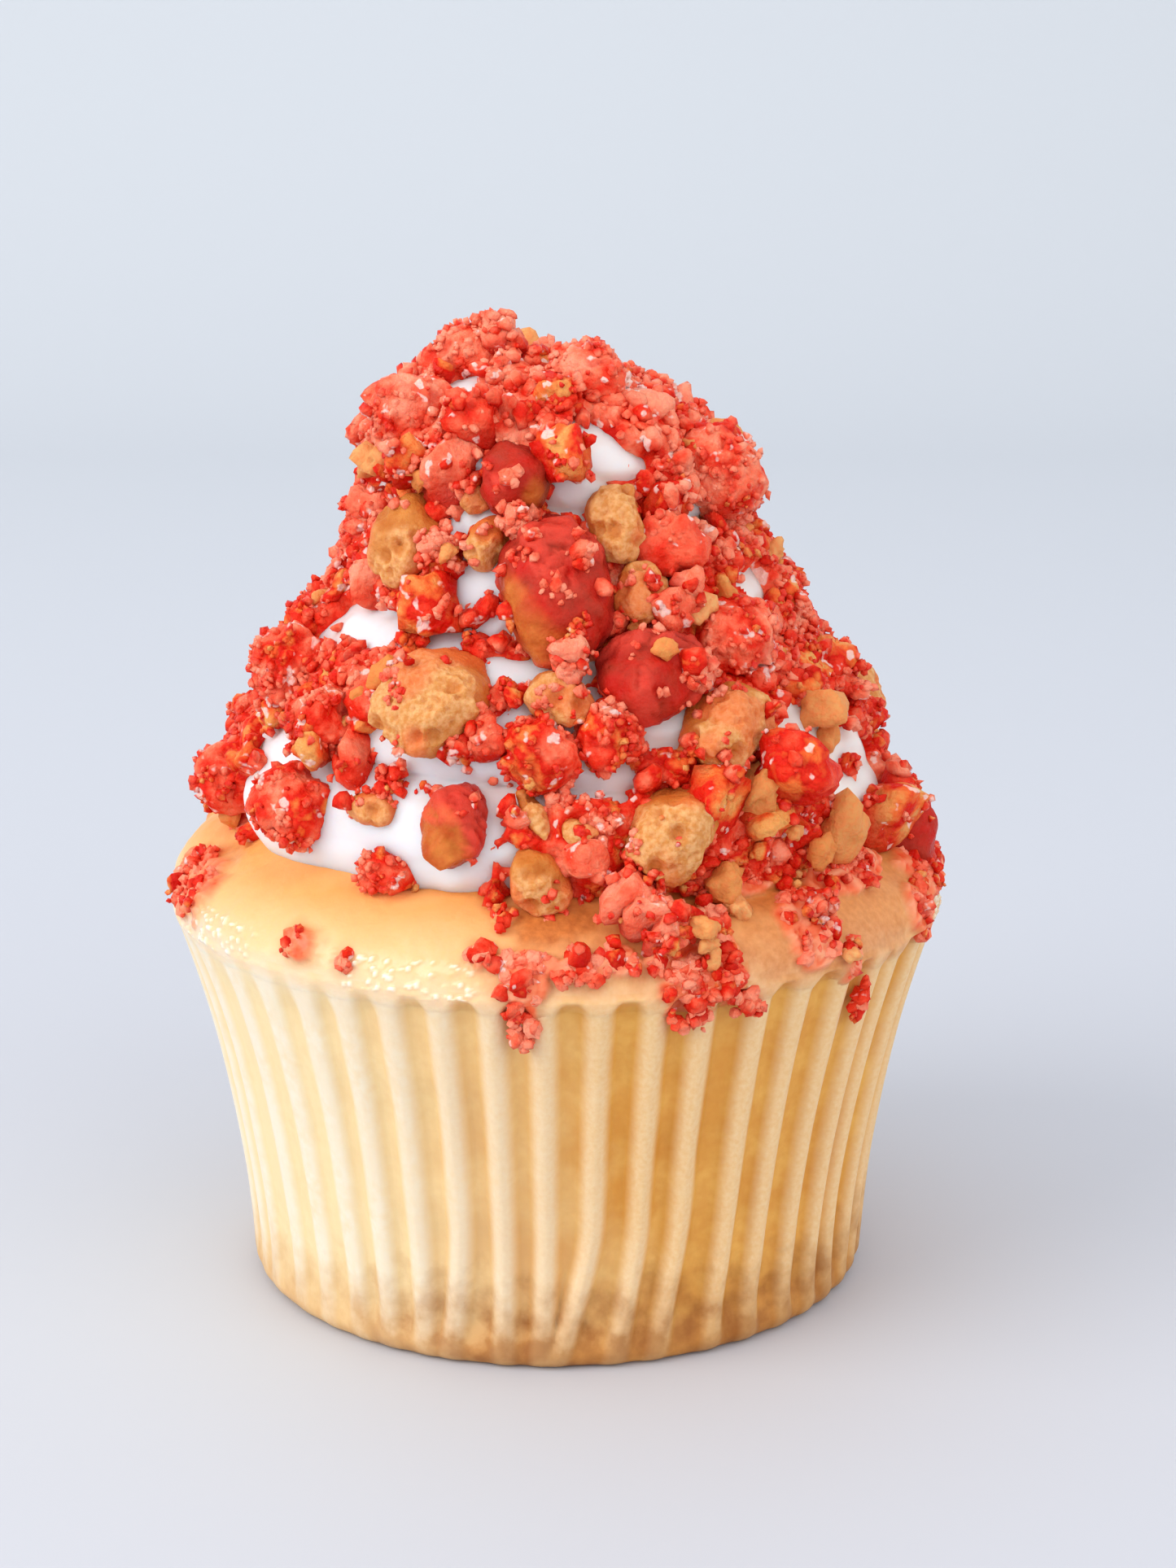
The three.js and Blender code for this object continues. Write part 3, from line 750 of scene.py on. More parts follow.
# Crunch pieces, each over the solid that stands for it

pieceSpec = {
    "seat": 1.5,              # millimetres that a piece reaches further into the cream than its solid
    "voxel": 0.26,
    "smoothing": 30,
    "nuggetBreaks": (5, 0.72),        # flat faces, and how deep the deepest is cut
    "cookieBreaks": (6, 0.66),
    "nuggetLumps": 0.42,
    "clusterLumps": 0.95,
    "cookieLumps": 0.34,
    "cookiePits": 0.6,
}

# the side of a nugget that shows its cookie: its direction from the middle, and how far it reaches
bareSides = {
    "nugget_front": ((-0.8, -0.25, -0.6), 0.42), "nugget_low": ((-0.7, -0.4, -0.3), 0.0),
    "nugget_upper": ((0.7, -0.4, -0.6), 0.7), "nugget_back_1": ((0.5, 0.6, -0.6), 0.45),
    "nugget_back_5": ((-0.4, 0.7, 0.6), 0.5),
}

# the nuggets that are baked together from crumbs
clusters = ["nugget_" + place for place in (
    "left", "side", "foot", "fallen", "between", "right", "peak", "upper_left", "steps", "upper_right", "rim",
    "crown", "back_3", "back_7",
)]


def towardsCream(centre):
    inward = Vector((0, 0, min(centre.z, 60.0))) - centre
    inward.z *= 0.4
    return inward.normalized()


def swollenMesh(name):
    # the node's own form, carried on into the cream, closed and smoothed
    points = [vertex.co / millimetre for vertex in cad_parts[name].data.vertices]
    centre = sum(points, Vector()) / len(points)
    seat = towardsCream(centre) * pieceSpec["seat"]
    shape = bmesh.new()
    for point in points:
        shape.verts.new(point)
        shape.verts.new(point + seat)
    hull = bmesh.ops.convex_hull(shape, input=shape.verts)
    loose = [item for item in hull["geom_interior"] if isinstance(item, bmesh.types.BMVert)]
    bmesh.ops.delete(shape, geom=loose, context="VERTS")
    mesh = bpy.data.meshes.new(name + "Draft")
    shape.to_mesh(mesh)
    shape.free()
    draft = addObject(name + "Draft", mesh)
    remesh = draft.modifiers.new("remesh", "REMESH")
    remesh.mode = "VOXEL"
    remesh.voxel_size = pieceSpec["voxel"]
    smooth = draft.modifiers.new("smooth", "SMOOTH")
    smooth.factor = 0.5
    smooth.iterations = pieceSpec["smoothing"]
    draft.modifiers.new("triangles", "TRIANGULATE")
    evaluated = draft.evaluated_get(bpy.context.evaluated_depsgraph_get()).to_mesh()
    points = np.array([vertex.co for vertex in evaluated.vertices])
    normals = np.array([vertex.normal for vertex in evaluated.vertices])
    faces = np.array([face.vertices for face in evaluated.polygons])
    bpy.data.objects.remove(draft)
    return points, normals, faces, np.array(centre), np.array(towardsCream(centre))


def broken(random, points, centre, planes, depth):
    # flattens a piece along a few random planes, with soft edges
    moved = points - centre
    for normal in unit(random.normal(size=(planes, 3))):
        height = moved @ normal
        over = np.maximum(height - height.max() * random.uniform(depth, 0.95), 0)
        moved = moved - normal * (over * 0.85)[:, None]
    return moved + centre


class Outline:
    # the oval that a piece fills
    def __init__(self, points):
        self.centre = points.mean(0)
        self.spread = np.linalg.inv(np.cov((points - self.centre).T))
        self.edge = np.median(self.measure(points))

    def measure(self, places):
        away = places - self.centre
        return np.sqrt(np.maximum(np.einsum("ni,ij,nj->n", away, self.spread, away), 0))

    def distance(self, places):
        # 1 on the piece's own surface
        return self.measure(places) / self.edge


def nearestPiece(pieces, places):
    return np.min([outline.distance(places) for outline, *_ in pieces.values()], axis=0)


def flankShadeOf(normals, inward, reach):
    # 1 on the sides of a piece that turn towards the cream, where they are moist and carry a painted shade
    return 1 - smoothstep(normals @ -inward, -0.25, reach)


def nuggetShape(name, spot, away, normals, inward):
    # how far each point stands out, and its marks
    spec = pieceSpec
    if name in clusters:
        chunks = chunkRelief(spot, 2.1, 5)
        lumps = spec["clusterLumps"] * (chunks - 0.6) + 0.35 * chunkRelief(spot, 0.9, 3)
        # the hollows between chunks are darkened, a painted shade
        marks = {"tint": 0.5 + 0.5 * softNoise(spot, 1.9, 9), "deep": 1 - smoothstep(chunks, 0.25, 0.75)}
        return lumps + 0.1 * softNoise(spot, 0.5, 7), marks
    caked = smoothstep(softNoise(spot, 2.9, 17), 0.0, 0.25)
    grit = chunkRelief(spot, 0.85, 6)
    lumps = spec["nuggetLumps"] * softNoise(spot, 2.8) + 0.2 * softNoise(spot, 1.2, 3)
    side, reach = bareSides.get(name, ((0, 0, 1), 2))
    facing = unit(away) @ unit(np.array(side)) + 0.22 * softNoise(spot, 1.8, 9)
    return lumps + grit * (0.2 + 0.35 * caked) + 0.05 * softNoise(spot, 0.4, 8), {
        "coat": 1 - smoothstep(facing, reach, reach + 0.3),
        "knob": (0.2 + 0.8 * caked) * smoothstep(grit, 0.3, 0.8),
        "flank": flankShadeOf(normals, inward, 0.75),
    }


def cookieShape(random, spot, away, normals, inward):
    spec = pieceSpec
    axis = np.linalg.svd(away, full_matrices=False)[2][0]
    fibre = softNoise(spot - (spot @ axis)[:, None] * axis * 0.75, 0.9, 4)
    torn = unit(random.normal(size=3) * 0.5 - inward)
    face = smoothstep(normals @ torn + 0.35 * softNoise(spot, 2.2, 9), 0.1, 0.55)
    wide = smoothstep(0.42 - cellNoise(spot, 2.0, 7), 0, 0.22) * (0.3 + 0.7 * face)
    fine = smoothstep(0.42 - cellNoise(spot, 0.8, 8), 0, 0.3) * (0.25 + 0.75 * face)
    lumps = spec["cookieLumps"] * softNoise(spot, 2.6) + 0.16 * fibre + 0.3 * chunkRelief(spot, 1.1, 3) * face
    pits = spec["cookiePits"] * wide + 0.2 * fine
    return lumps + 0.06 * softNoise(spot, 0.45, 6) - pits, {
        "face": face,
        # the pits are coloured darker, a painted shade in the hollows
        "pit": np.clip(wide + 0.6 * fine, 0, 1),
        "dust": smoothstep(softNoise(spot, 2.9, 11), 0.05, 0.35),
        "flank": flankShadeOf(normals, inward, 0.55),
    }


def nuggetFinish():
    shader = Shader("redCoating", gloss=0.12, glow=0.15, bleed=(1.0, 0.2, 0.12))
    blotch = shader.mottle(1.8, 3, 0.35, 0.68)
    fine = shader.mottle(0.35)
    red = shader.mix(blotch, (0.34, 0.026, 0.011), (0.52, 0.006, 0.003))
    red = shader.mix(fine * 0.2, red, (0.70, 0.050, 0.028))
    bare = shader.mix(blotch, (0.46, 0.085, 0.012), (0.66, 0.22, 0.040))
    # the flanks towards the cream are darkened, a painted shade
    colour = shader.over(
        bare, (shader.mark("coat"), red), (shader.mark("flank") * 0.8, (0.20, 0.002, 0.003)),
        (shader.mark("knob") * 0.55, (0.88, 0.09, 0.055)),
    )
    relief = shader.mottle(0.28, 4, 0.2, 0.8)
    return shader.paint(colour, shader.span(fine, 0, 1, 0.25, 0.5), relief, 0.09, 0.7)


def cookieFinish():
    shader = Shader("goldenCookie", gloss=0.25, glow=0.3, bleedDepth=1.3)
    blotch = shader.mottle(1.8, 3, 0.35, 0.68)
    fine = shader.mottle(0.4)
    skin = shader.mix(blotch, (0.52, 0.145, 0.018), (0.68, 0.26, 0.055))
    torn = shader.mix(fine, (0.66, 0.26, 0.060), (0.81, 0.43, 0.175))
    # the flanks towards the cream are darker, a painted shade
    colour = shader.over(
        skin, (shader.mark("face"), torn), (shader.mark("pit") * 0.8, (0.60, 0.17, 0.024)),
        (shader.mark("flank") * 0.5, (0.58, 0.11, 0.018)), (shader.mark("dust") * 0.5, (0.80, 0.12, 0.03)),
    )
    relief = shader.mottle(0.3, 4, 0.2, 0.8)
    return shader.paint(colour, shader.span(fine, 0, 1, 0.38, 0.65), relief, 0.12, 0.8)


def makeCrunchPieces():
    finishes = {"nugget": nuggetFinish(), "cookie": cookieFinish()}
    baked = crumbFinish("bakedCluster", 0.12, 0.35)
    made = {}
    for seed, name in enumerate(sorted(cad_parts)):
        kind = name.split("_")[0]
        if kind not in finishes:
            continue
        points, normals, faces, centre, inward = swollenMesh(name)
        random = np.random.default_rng(seed)
        points = broken(random, points, centre, *pieceSpec[kind + "Breaks"])
        spot = points + seed * 31.7
        if kind == "nugget":
            lumps, marks = nuggetShape(name, spot, points - centre, normals, inward)
        else:
            lumps, marks = cookieShape(random, spot, points - centre, normals, inward)
        points = points + normals * lumps[:, None]
        finish = baked if name in clusters else finishes[kind]
        makePiece(name + "Piece", points, faces, finish, [name], marks)
        made[name] = Outline(points), points, normals, inward
    return made


# Crumbs

crumbSpec = {
    "crustFoot": 37.4,
    "crustThickness": 1.1,
    "crustSunk": 0.9,         # how far it lies under the bare cream
    "crustChunks": 1.05,
    "crustGrit": 0.45,
    "crustColumns": 500,
    "crustRows": 170,
    "lumps": 430,
    "lumpFoot": 37.6,
    "lumpClimb": 34.6,        # from the lowest lumps to the highest
    "lumpSpacing": 2.1,
    "lumpRadius": (0.7, 1.6),
    "lumpForm": (3, 0.22, 0.6, 7),    # detail, roughness, knobs and broken faces
    "spillRadius": (0.25, 0.6),
    "spillForm": (2, 0.22, 0.6, 7),
    "spillDensity": 1.7,
    "small": 2300,
    "smallRadius": (0.35, 0.8),
    "smallForm": (2, 0.25, 0.4, 7),
    "grains": 9200,           # of each colour
    "grainRadius": (0.2, 0.5),
    "grainForm": (1, 0.6),
    "strays": 70,             # single crumbs on the bare cream
    "gold": 80,
    "goldRadius": (0.35, 1.0),
    "goldForm": (3, 0.3, 0.7, 7),
    "goldTint": 0.2,          # key crumbs with less tint than this are gold
    "clearOfPieces": 1.15,    # how far lumps stay from the middles of pieces, as a share of their size
    "clearOfKeys": 1.0,       # and from the key crumbs, in millimetres
    "bedPoints": 20000,
}

# key crumbs that stand out by themselves: x, y, z, radius, and tint: 0 is golden, 0.5 red and 1 pink
keyCrumbs = [
    (-5.2, -15.6, 56.0, 1.0, 0.50), (-5.4, -16.8, 53.6, 1.1, 0.58), (-3.5, -20.5, 50.7, 1.0, 0.75),
    (1.0, -21.7, 54.4, 1.2, 0.95), (1.4, -21.8, 53.2, 0.9, 0.9), (10.1, -15.7, 57.8, 1.2, 0.85),
    (8.6, -17.0, 56.6, 1.2, 0.8), (8.8, -13.6, 60.7, 2.1, 0.65), (-2.9, -15.5, 63.1, 0.9, 0.9),
    (-2.2, -15.2, 61.9, 0.8, 0.9), (7.9, -21.2, 54.3, 0.6, 0.05), (10.4, -20.3, 52.4, 1.1, 0.9),
    (4.7, -20.5, 51.1, 0.55, 0.95), (-5.3, -22.6, 48.4, 1.3, 0.75), (-6.5, -22.0, 47.5, 1.2, 0.9),
    (-11.2, -16.6, 52.4, 0.7, 0.5), (-10.4, -14.8, 53.7, 0.85, 0.5), (-9.0, -15.3, 56.2, 2.0, 0.30),
    (-8.7, -14.0, 60.7, 1.0, 0.85), (0.8, -23.6, 43.6, 0.75, 0.25), (-14.5, -17.4, 45.3, 2.0, 0.7),
    (-17.6, -17.6, 46.0, 1.2, 0.25), (-11.5, -20.8, 44.2, 0.7, 0.3), (-13.3, -5.5, 66.0, 1.35, 0.08),
    (0.1, -9.2, 71.5, 1.4, 0.2), (0.7, -13.9, 67.9, 1.8, 0.22), (8.4, -12.7, 63.8, 1.3, 0.3),
    (11.5, -23.4, 44.2, 2.2, 0.36), (15.0, -21.1, 44.3, 1.6, 0.12), (17.4, -21.6, 41.1, 0.5, 0.03),
    (12.3, -24.0, 38.0, 1.1, 0.1), (13.3, -24.5, 36.1, 0.8, 0.18), (10.7, -29.3, 36.1, 0.8, 0.15),
    (11.0, -29.1, 34.6, 0.6, 0.05), (15.7, -21.6, 41.9, 1.7, 0.25), (6.8, -28.0, 36.7, 1.6, 1.0),
    (5.3, -27.8, 37.4, 1.4, 0.95), (8.1, -29.0, 35.7, 1.5, 0.98), (19.9, -12.6, 48.4, 1.4, 0.12),
    (20.6, -12.6, 46.0, 0.9, 0.06), (18.0, -20.1, 45.3, 2.3, 0.5), (21.3, -15.8, 40.0, 1.9, 0.12),
    (22.0, -10.4, 43.1, 0.8, 0.5), (23.5, -10.5, 39.3, 1.5, 0.65), (25.5, -9.5, 39.3, 2.4, 0.3),
    (19.7, -19.6, 38.9, 1.0, 0.15), (26.6, -5.7, 40.6, 1.2, 0.5), (18.9, -23.4, 35.8, 0.7, 0.95),
    (-6.2, -11.2, 69.3, 1.9, 0.5), (-7.2, -11.6, 66.1, 1.9, 0.75), (-10.9, -10.9, 66.5, 1.3, 0.25),
    (-4.3, -2.0, 75.0, 1.2, 0.8), (-5.2, -1.6, 75.6, 0.7, 0.85), (-3.4, -2.2, 74.4, 1.1, 0.7),
]


def makeCrust(pieces):
    # fine crunch as one uneven layer over the cream, sunk under it where the cream is bare
    spec = crumbSpec
    height = np.linspace(spec["crustFoot"], creamSpec["heights"][-1] - 0.1, spec["crustRows"])[:, None]
    azimuth, height = np.broadcast_arrays(fullTurn(spec["crustColumns"]), height)
    surface, normal = swirlFrame(azimuth, height)
    flat = surface.reshape(-1, 3)
    ragged = 0.8 * softNoise(flat, 2.4, 41) + 0.55 * softNoise(flat, 1.0, 42)
    cover = smoothstep(bareMargin(azimuth, height).ravel() + ragged, 0.0, 0.4)
    low = 0.35 + 0.65 * smoothstep(nearestPiece(pieces, flat), 0.9, 1.5)
    chunks, grit = chunkRelief(flat, 2.6, 43), chunkRelief(flat, 1.05, 44)
    relief = spec["crustChunks"] * chunks + spec["crustGrit"] * grit + 0.12 * softNoise(flat, 0.5, 45)
    lift = cover * (spec["crustThickness"] + relief * low) - spec["crustSunk"]
    moved = flat + normal.reshape(-1, 3) * lift[:, None]
    points, faces = closedRings(moved.reshape(surface.shape))
    marks = {
        "tint": withTips(0.5 + 0.5 * softNoise(flat, 1.8, 46)),
        # darker where the relief is low, a painted shade in the hollows
        "deep": withTips(1 - smoothstep(relief, 0.45, 1.15)),
    }
    finish = crumbFinish("crustOfCrumbs", 0.04, 0.3)
    makePiece("crumbCrust", points, faces, finish, ["frosting"], marks)
    high = (cover > 0.9) & (relief > 0.6)
    return Bed(moved[high], normal.reshape(-1, 3)[high])


class Bed:
    # places that crumbs can lie on, with the way out of each
    def __init__(self, points, normals):
        self.points = np.asarray(points)
        self.normals = np.asarray(normals)

    def where(self, chosen):
        return Bed(self.points[chosen], self.normals[chosen])

    def raised(self, lift):
        return Bed(self.points + self.normals * lift, self.normals)

    def pick(self, random, count, lift):
        bed = self.where(random.integers(len(self.points), size=count)).raised(lift)
        return Bed(bed.points + random.normal(size=(count, 3)) * 0.12, bed.normals)


def together(beds):
    beds = list(beds)
    return Bed(np.concatenate([bed.points for bed in beds]), np.concatenate([bed.normals for bed in beds]))


def joinBeds(random, *shares):
    # one bed that draws from the given ones by their shares
    total = crumbSpec["bedPoints"]
    return together(
        bed.where(random.integers(len(bed.points), size=int(total * share))) for bed, share in shares
    )


def outerBed(made):
    # the sides of the pieces that turn away from the cream
    return together(
        Bed(points, normals).where((points - outline.centre) @ inward < 0.2)
        for outline, points, normals, inward in made
    )


def keyBed(keys):
    return Bed(keys[:, :3], unit(keys[:, :3] * np.array([1, 1, 0.15])))


def lumpPlaces(random):
    # well spaced places over the covered cream, drawn again wherever one would crowd another
    spec = crumbSpec
    found = []
    for _ in range(spec["lumps"] * 12):
        azimuth = random.uniform(0, 360)
        climb = 1 - math.sqrt(1 - random.uniform(0, 1))
        height = spec["lumpFoot"] + spec["lumpClimb"] * climb
        if bareMargin(azimuth, height) < 0.8 + 0.4 * random.uniform(-1, 1):
            continue
        here, normal = swirlFrame(np.array(azimuth), np.array(height))
        if found and np.linalg.norm(np.array(found)[:, 0] - here, axis=1).min() < spec["lumpSpacing"]:
            continue
        found.append((here, normal))
        if len(found) == spec["lumps"]:
            break
    return Bed(*zip(*found))


def spillPlaces(random):
    beds = []
    for azimuth, travelled, width, length, count in spills:
        count = round(count * crumbSpec["spillDensity"])
        radius = np.sqrt(random.uniform(0, 1, count))
        angle = random.uniform(0, 2 * np.pi, count)
        side, up = width * radius * np.cos(angle), length * radius * np.sin(angle)
        beds.append(Bed(*shellFrame(azimuth + side, travelled + up)))
    return together(beds)


def strayPlaces(random):
    # single crumbs on the bare cream, most of them near the edges of the patches
    found = []
    while len(found) < crumbSpec["strays"]:
        middle, level, width, tall = bareCream[random.integers(len(bareCream))]
        reach, angle = random.uniform(0.3, 1.0) ** 0.6, random.uniform(0, 2 * np.pi)
        azimuth, height = middle + width * reach * math.cos(angle), level + tall * reach * math.sin(angle)
        if -1.2 < bareMargin(azimuth, height) < 0 and 38 < height < 72:
            found.append(swirlFrame(np.array(azimuth), np.array(height)))
    return Bed(*zip(*found))


def stretched(random, span, count, evenness=1.5):
    low, high = span
    size = low + (high - low) * random.uniform(0, 1, (count, 1)) ** evenness
    return size * random.uniform(0.7, 1.25, (count, 3))


def makeScattered(
    random, name, form, bed, sizes, finish, nodes, tint=None, shadow=None, smooth=True,
):
    # one piece of many crumbs, and their outer sides as a bed for smaller ones
    # shadow is where the dark of their undersides is full and where it ends, in crumb sizes
    points, faces, home = scatter(random, bed.points, sizes, *crumbSpec[form])
    tint = random.uniform(0, 1, len(sizes)) if tint is None else tint
    marks = {"tint": tint[home]}
    away, normals = points - bed.points[home], bed.normals[home]
    if shadow:
        marks["deep"] = 1 - smoothstep((away * normals).sum(1) / sizes[home].mean(1), *shadow)
    makePiece(name, points, faces, finish, nodes, marks, smooth)
    outward = unit(away)
    return Bed(points, outward).where((outward * normals).sum(1) > -0.15)


def makeLumps(random, pieces, keys):
    spec = crumbSpec
    bed = lumpPlaces(random)
    taken = np.array(keyCrumbs)
    apart = np.linalg.norm(bed.points[:, None] - taken[None, :, :3], axis=2) - taken[:, 3]
    clear = nearestPiece(pieces, bed.points) > spec["clearOfPieces"]
    bed = bed.where(clear & (apart.min(1) > spec["clearOfKeys"]))
    sizes = stretched(random, spec["lumpRadius"], len(bed.points))
    bed = together([bed.raised(sizes.mean(1, keepdims=True) * 0.45), keyBed(keys)])
    keySizes = keys[:, 3:4] * random.uniform(0.82, 1.2, (len(keys), 3))
    tint = np.concatenate([random.uniform(0, 1, len(sizes)), (keys[:, 4] - 0.27) / 0.6])
    sizes = np.concatenate([sizes, keySizes])
    finish = crumbFinish("coralCrumb", 0.04, 0.6)
    return makeScattered(
        random, "crumbLumps", "lumpForm", bed, sizes, finish, ["frosting"], tint, (-0.3, 0.7),
    )


def makeSpill(random):
    bed = spillPlaces(random).raised(0.15)
    sizes = stretched(random, crumbSpec["spillRadius"], len(bed.points))
    tint = random.uniform(0, 1, len(sizes))
    finish = crumbFinish("spillCrumb", 0.36, 0.6, 0.1, 0.1, 0.2)
    return makeScattered(
        random, "crumbSpill", "spillForm", bed, sizes, finish, ["cake"], tint, (-0.3, 0.7), smooth=False,
    )


def makeSmallCrumbs(random, *shares):
    bed = joinBeds(random, *shares).pick(random, crumbSpec["small"], 0.15)
    bed = together([bed, strayPlaces(random).raised(0.2)])
    sizes = stretched(random, crumbSpec["smallRadius"], len(bed.points), 2)
    finish = crumbFinish("smallCrumb", 0.08, 0.35, 0.12, 0.2)
    nodes = ["frosting", "cake"]
    return makeScattered(
        random, "crumbsSmall", "smallForm", bed, sizes, finish, nodes, shadow=(-0.6, 0.6),
    )


def makeGrains(random, kind, pinkness, size, spread, *shares):
    bed = joinBeds(random, *shares)
    bed = bed.where(softNoise(bed.points, 2.4, 71) > spread).pick(random, crumbSpec["grains"], 0.05)
    sizes = stretched(random, crumbSpec["grainRadius"], crumbSpec["grains"]) * size
    finish = crumbFinish("grain" + kind, pinkness, 0.25, 0.3, 0.0)
    makeScattered(random, "grains" + kind, "grainForm", bed, sizes, finish, ["frosting"])


def makeGoldCrumbs(random, keys, *shares):
    spec = crumbSpec
    bed = joinBeds(random, *shares).pick(random, spec["gold"], 0.3)
    bed = together([bed, keyBed(keys)])
    sizes = stretched(random, spec["goldRadius"], spec["gold"], 2.2)
    sizes = np.concatenate([sizes, keys[:, 3:4] * random.uniform(0.8, 1.2, (len(keys), 3))])
    finish = goldCrumbFinish()
    makeScattered(random, "crumbsGold", "goldForm", bed, sizes, finish, ["frosting"])


def makeCrumbs(pieces):
    random = np.random.default_rng(7)
    keys = np.array(keyCrumbs)
    golden = keys[:, 4] < crumbSpec["goldTint"]
    onCrust = makeCrust(pieces)
    onLumps = makeLumps(random, pieces, keys[~golden])
    onSpill = makeSpill(random)
    onClusters = outerBed(pieces[name] for name in clusters)
    onPieces = outerBed(made for name, made in pieces.items() if name not in clusters)
    onPieces = onPieces.where(softNoise(onPieces.points, 1.9, 61) > 0.3)
    onSmall = makeSmallCrumbs(random, (onCrust, 0.60), (onLumps, 0.32), (onSpill, 0.06), (onPieces, 0.02))
    for kind, pinkness, size, spread in (("Coral", 0.08, 1.0, -0.6), ("Pink", 0.24, 0.85, 0.15)):
        makeGrains(
            random, kind, pinkness, size, spread, (onCrust, 0.38), (onLumps, 0.33), (onSpill, 0.05),
            (onSmall, 0.14), (onClusters, 0.07), (onPieces, 0.03),
        )
    makeGoldCrumbs(random, keys[golden], (onCrust, 0.95), (onSpill, 0.05))


def crumbFinish(name, pinkness, own, gloss=0.12, glow=0.4, shade=0.8):
    # golden, orange, red, coral or pink by the tint, with painted shade low down, a painted highlight on the
    # pinker crumbs, and a little cream smeared on
    shader = Shader(name, 1.45, gloss, glow, (1.0, 0.15, 0.08), 0.4)
    fine = shader.mottle(0.45)
    patch = shader.mottle(2.4, 3, 0.33, 0.67)
    cells = {"Vector": shader.place, "Scale": 1 / (0.6 * millimetre)}
    grain = shader.add("ShaderNodeTexVoronoi", inputs=cells, output="Distance")
    tint = shader.mark("tint") * own + patch * (1 - own) + pinkness
    tint = tint + shader.span(shader.along("Z"), 42, 74, -0.08, 0.11)
    colour = shader.ramp(
        tint, (0.08, (0.84, 0.36, 0.10)), (0.22, (0.89, 0.17, 0.035)), (0.36, (0.72, 0.012, 0.004)),
        (0.54, (0.87, 0.046, 0.014)), (0.74, (0.94, 0.13, 0.056)), (0.98, (0.98, 0.28, 0.165)),
    )
    # pinker crumbs lightened, a painted highlight, less so in their painted shade
    lit = shader.span(tint, 0.45, 0.8) * (fine * 0.14 + (1 - shader.mark("deep")) * 0.12)
    colour = shader.over(
        colour, (lit, (1.0, 0.43, 0.27)), (shader.mark("deep") * shade, (0.55, 0.004, 0.002)),
        (shader.mottle(1.5, 2, 0.64, 0.68) * 0.7, (0.95, 0.76, 0.69)),
    )
    relief = fine * 0.5 + (1 - grain) * 0.8
    roughness = shader.span(fine, 0, 1, 0.45 - 0.5 * gloss, 0.6 - 0.5 * gloss)
    return shader.paint(colour, roughness, relief, 0.22, 0.9)


def goldCrumbFinish():
    shader = Shader("goldCrumb", glow=0.2, bleedDepth=0.7)
    fine = shader.mottle(0.4)
    gold = shader.mix(shader.mark("tint"), (0.70, 0.24, 0.045), (0.84, 0.44, 0.16))
    colour = shader.mix(fine * 0.45, gold, (0.88, 0.20, 0.06))
    return shader.paint(colour, shader.span(fine, 0, 1, 0.45, 0.7), fine, 0.08, 0.7)


# Floor, light and camera, in metres

stageSpec = {
    "floorColour": (0.58, 0.60, 0.655),
    "wallColour": (0.60, 0.63, 0.67),
    "halfWidth": 1.6,
    "front": -0.9,
    "wallStart": 0.55,
    "bend": 0.35,
    "wallTop": 1.5,
}

lightSpec = {
    "window": {"place": (-0.80, -0.45, 0.62), "size": 0.9, "power": 6.5, "colour": (1.0, 0.98, 0.95)},
    "fill": {"place": (0.50, -0.60, 0.50), "size": 0.9, "power": 1.6, "colour": (1.0, 0.97, 0.94)},
    "back": {"place": (-0.10, 0.60, 0.75), "size": 0.8, "power": 0.6, "colour": (0.95, 0.97, 1.0)},
}

roomSpec = {
    "aim": (0, 0, 0.035),     # where the lights point
    "colour": (0.95, 0.97, 1.0),
    "strength": 1.03,
}

cameraSpec = {
    "place": (0.00252, -0.2158, 0.0914),
    "tiltDown": 13.57,
    "focalPixels": 3400.0,
    "framePixels": 1927.0,
    "sensor": 36.0,
}


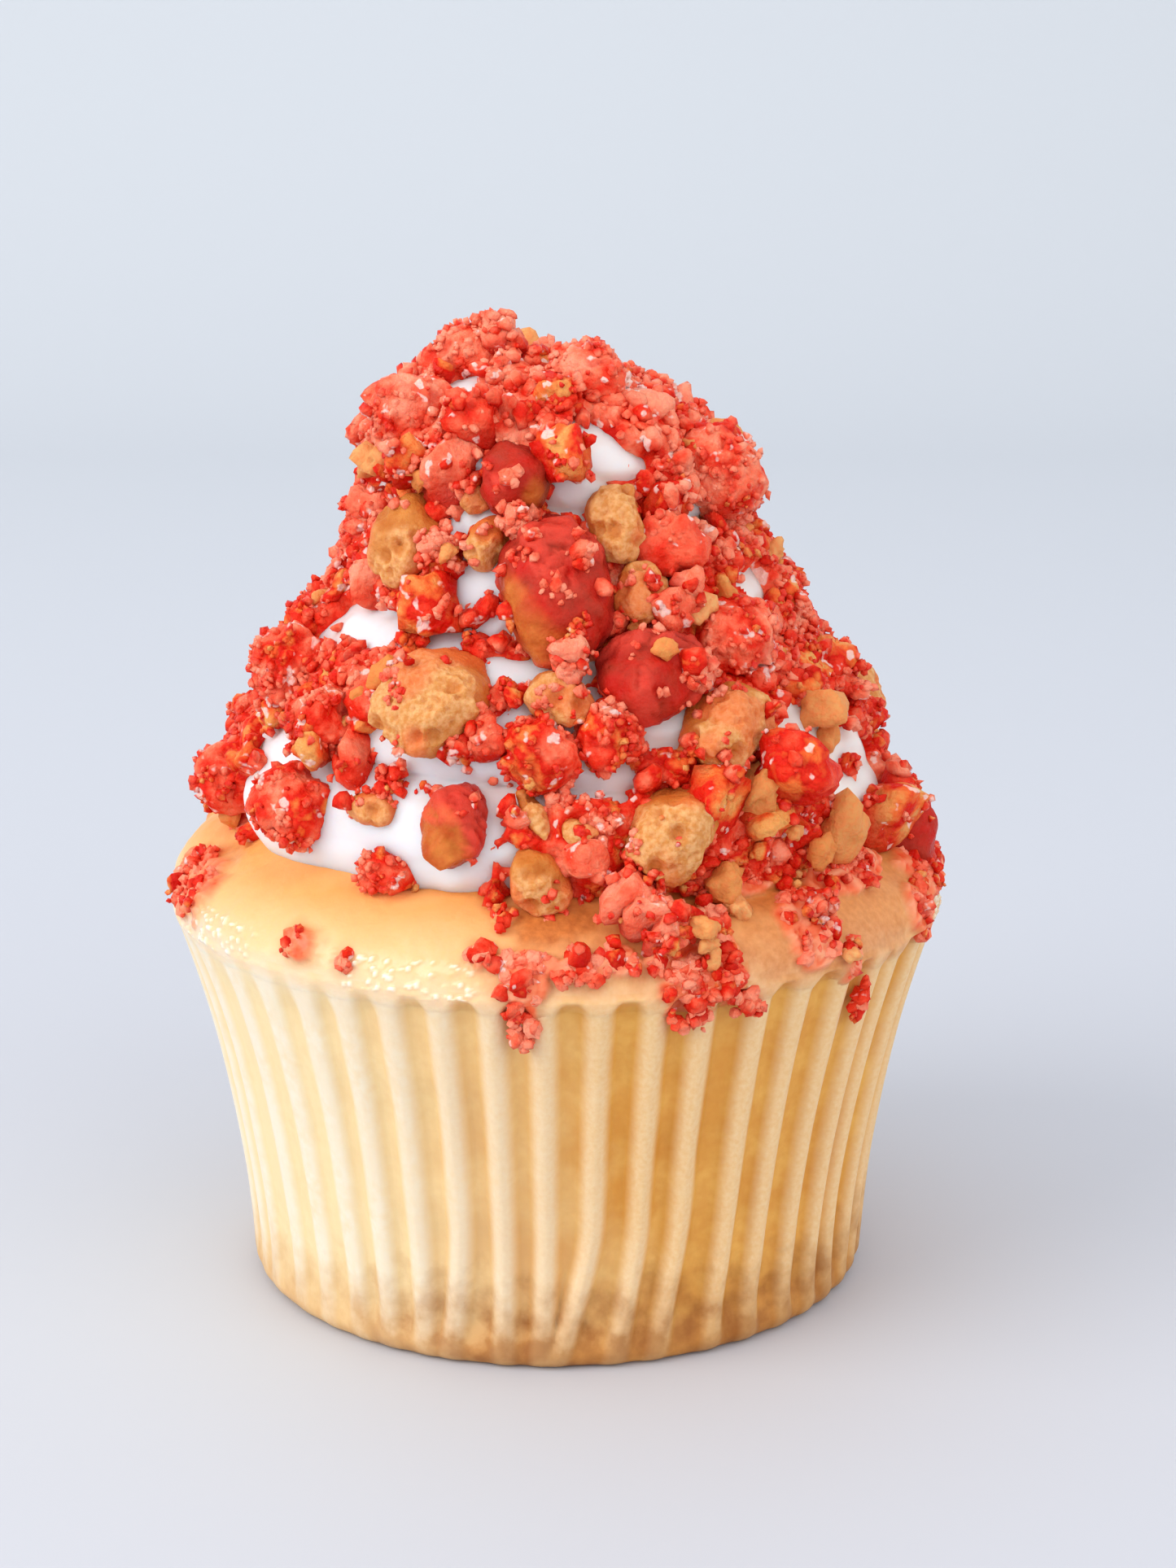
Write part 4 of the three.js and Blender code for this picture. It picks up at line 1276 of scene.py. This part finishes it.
def makeStage():
    spec = stageSpec
    bend = np.radians(np.linspace(0, 90, 16))
    floor = [(spec["front"], 0.0), (0.0, 0.0)]
    curve = list(zip(spec["wallStart"] + spec["bend"] * np.sin(bend), spec["bend"] * (1 - np.cos(bend))))
    wall = [(spec["wallStart"] + spec["bend"], spec["wallTop"])]
    profile = np.array(floor + curve + wall)
    points = [(side, y, z) for side in (-spec["halfWidth"], spec["halfWidth"]) for y, z in profile]
    count = len(profile)
    faces = [(index, count + index, count + index + 1, index + 1) for index in range(count - 1)]
    mesh = bpy.data.meshes.new("sweep")
    mesh.from_pydata(points, [], faces)
    mesh.polygons.foreach_set("use_smooth", [True] * len(faces))
    shader = Shader("plainSweep", ior=1.5, gloss=0.25)
    back = shader.span(shader.along("Y"), 100, 800)
    mesh.materials.append(shader.paint(shader.mix(back, spec["floorColour"], spec["wallColour"]), 0.65))
    sweep = addObject("sweep", mesh)


def makeLights():
    for name, spec in lightSpec.items():
        light = bpy.data.lights.new(name, "AREA")
        light.shape = "DISK"
        light.size = spec["size"]
        light.energy = spec["power"]
        light.color = spec["colour"]
        lamp = addObject(name, light)
        lamp.location = spec["place"]
        lamp.rotation_euler = (Vector(roomSpec["aim"]) - lamp.location).to_track_quat("-Z", "Y").to_euler()
    world = bpy.data.worlds.new("room")
    world.use_nodes = True
    sky = world.node_tree.nodes["Background"]
    sky.inputs["Color"].default_value = (*roomSpec["colour"], 1)
    sky.inputs["Strength"].default_value = roomSpec["strength"]
    bpy.context.scene.world = world


def makeCamera():
    spec = cameraSpec
    lens = bpy.data.cameras.new("camera")
    lens.sensor_width = spec["sensor"]
    lens.lens = spec["sensor"] * spec["focalPixels"] / spec["framePixels"]
    lens.clip_start = 0.01
    camera = addObject("camera", lens)
    camera.location = spec["place"]
    camera.rotation_euler = (math.radians(90 - spec["tiltDown"]), 0, 0)
    bpy.context.scene.camera = camera


makeCase()
makeCake()
makeCream()
crunchPieces = makeCrunchPieces()
makeCrumbs(crunchPieces)
makeStage()
makeLights()
makeCamera()
bpy.context.scene.view_settings.view_transform = "Standard"
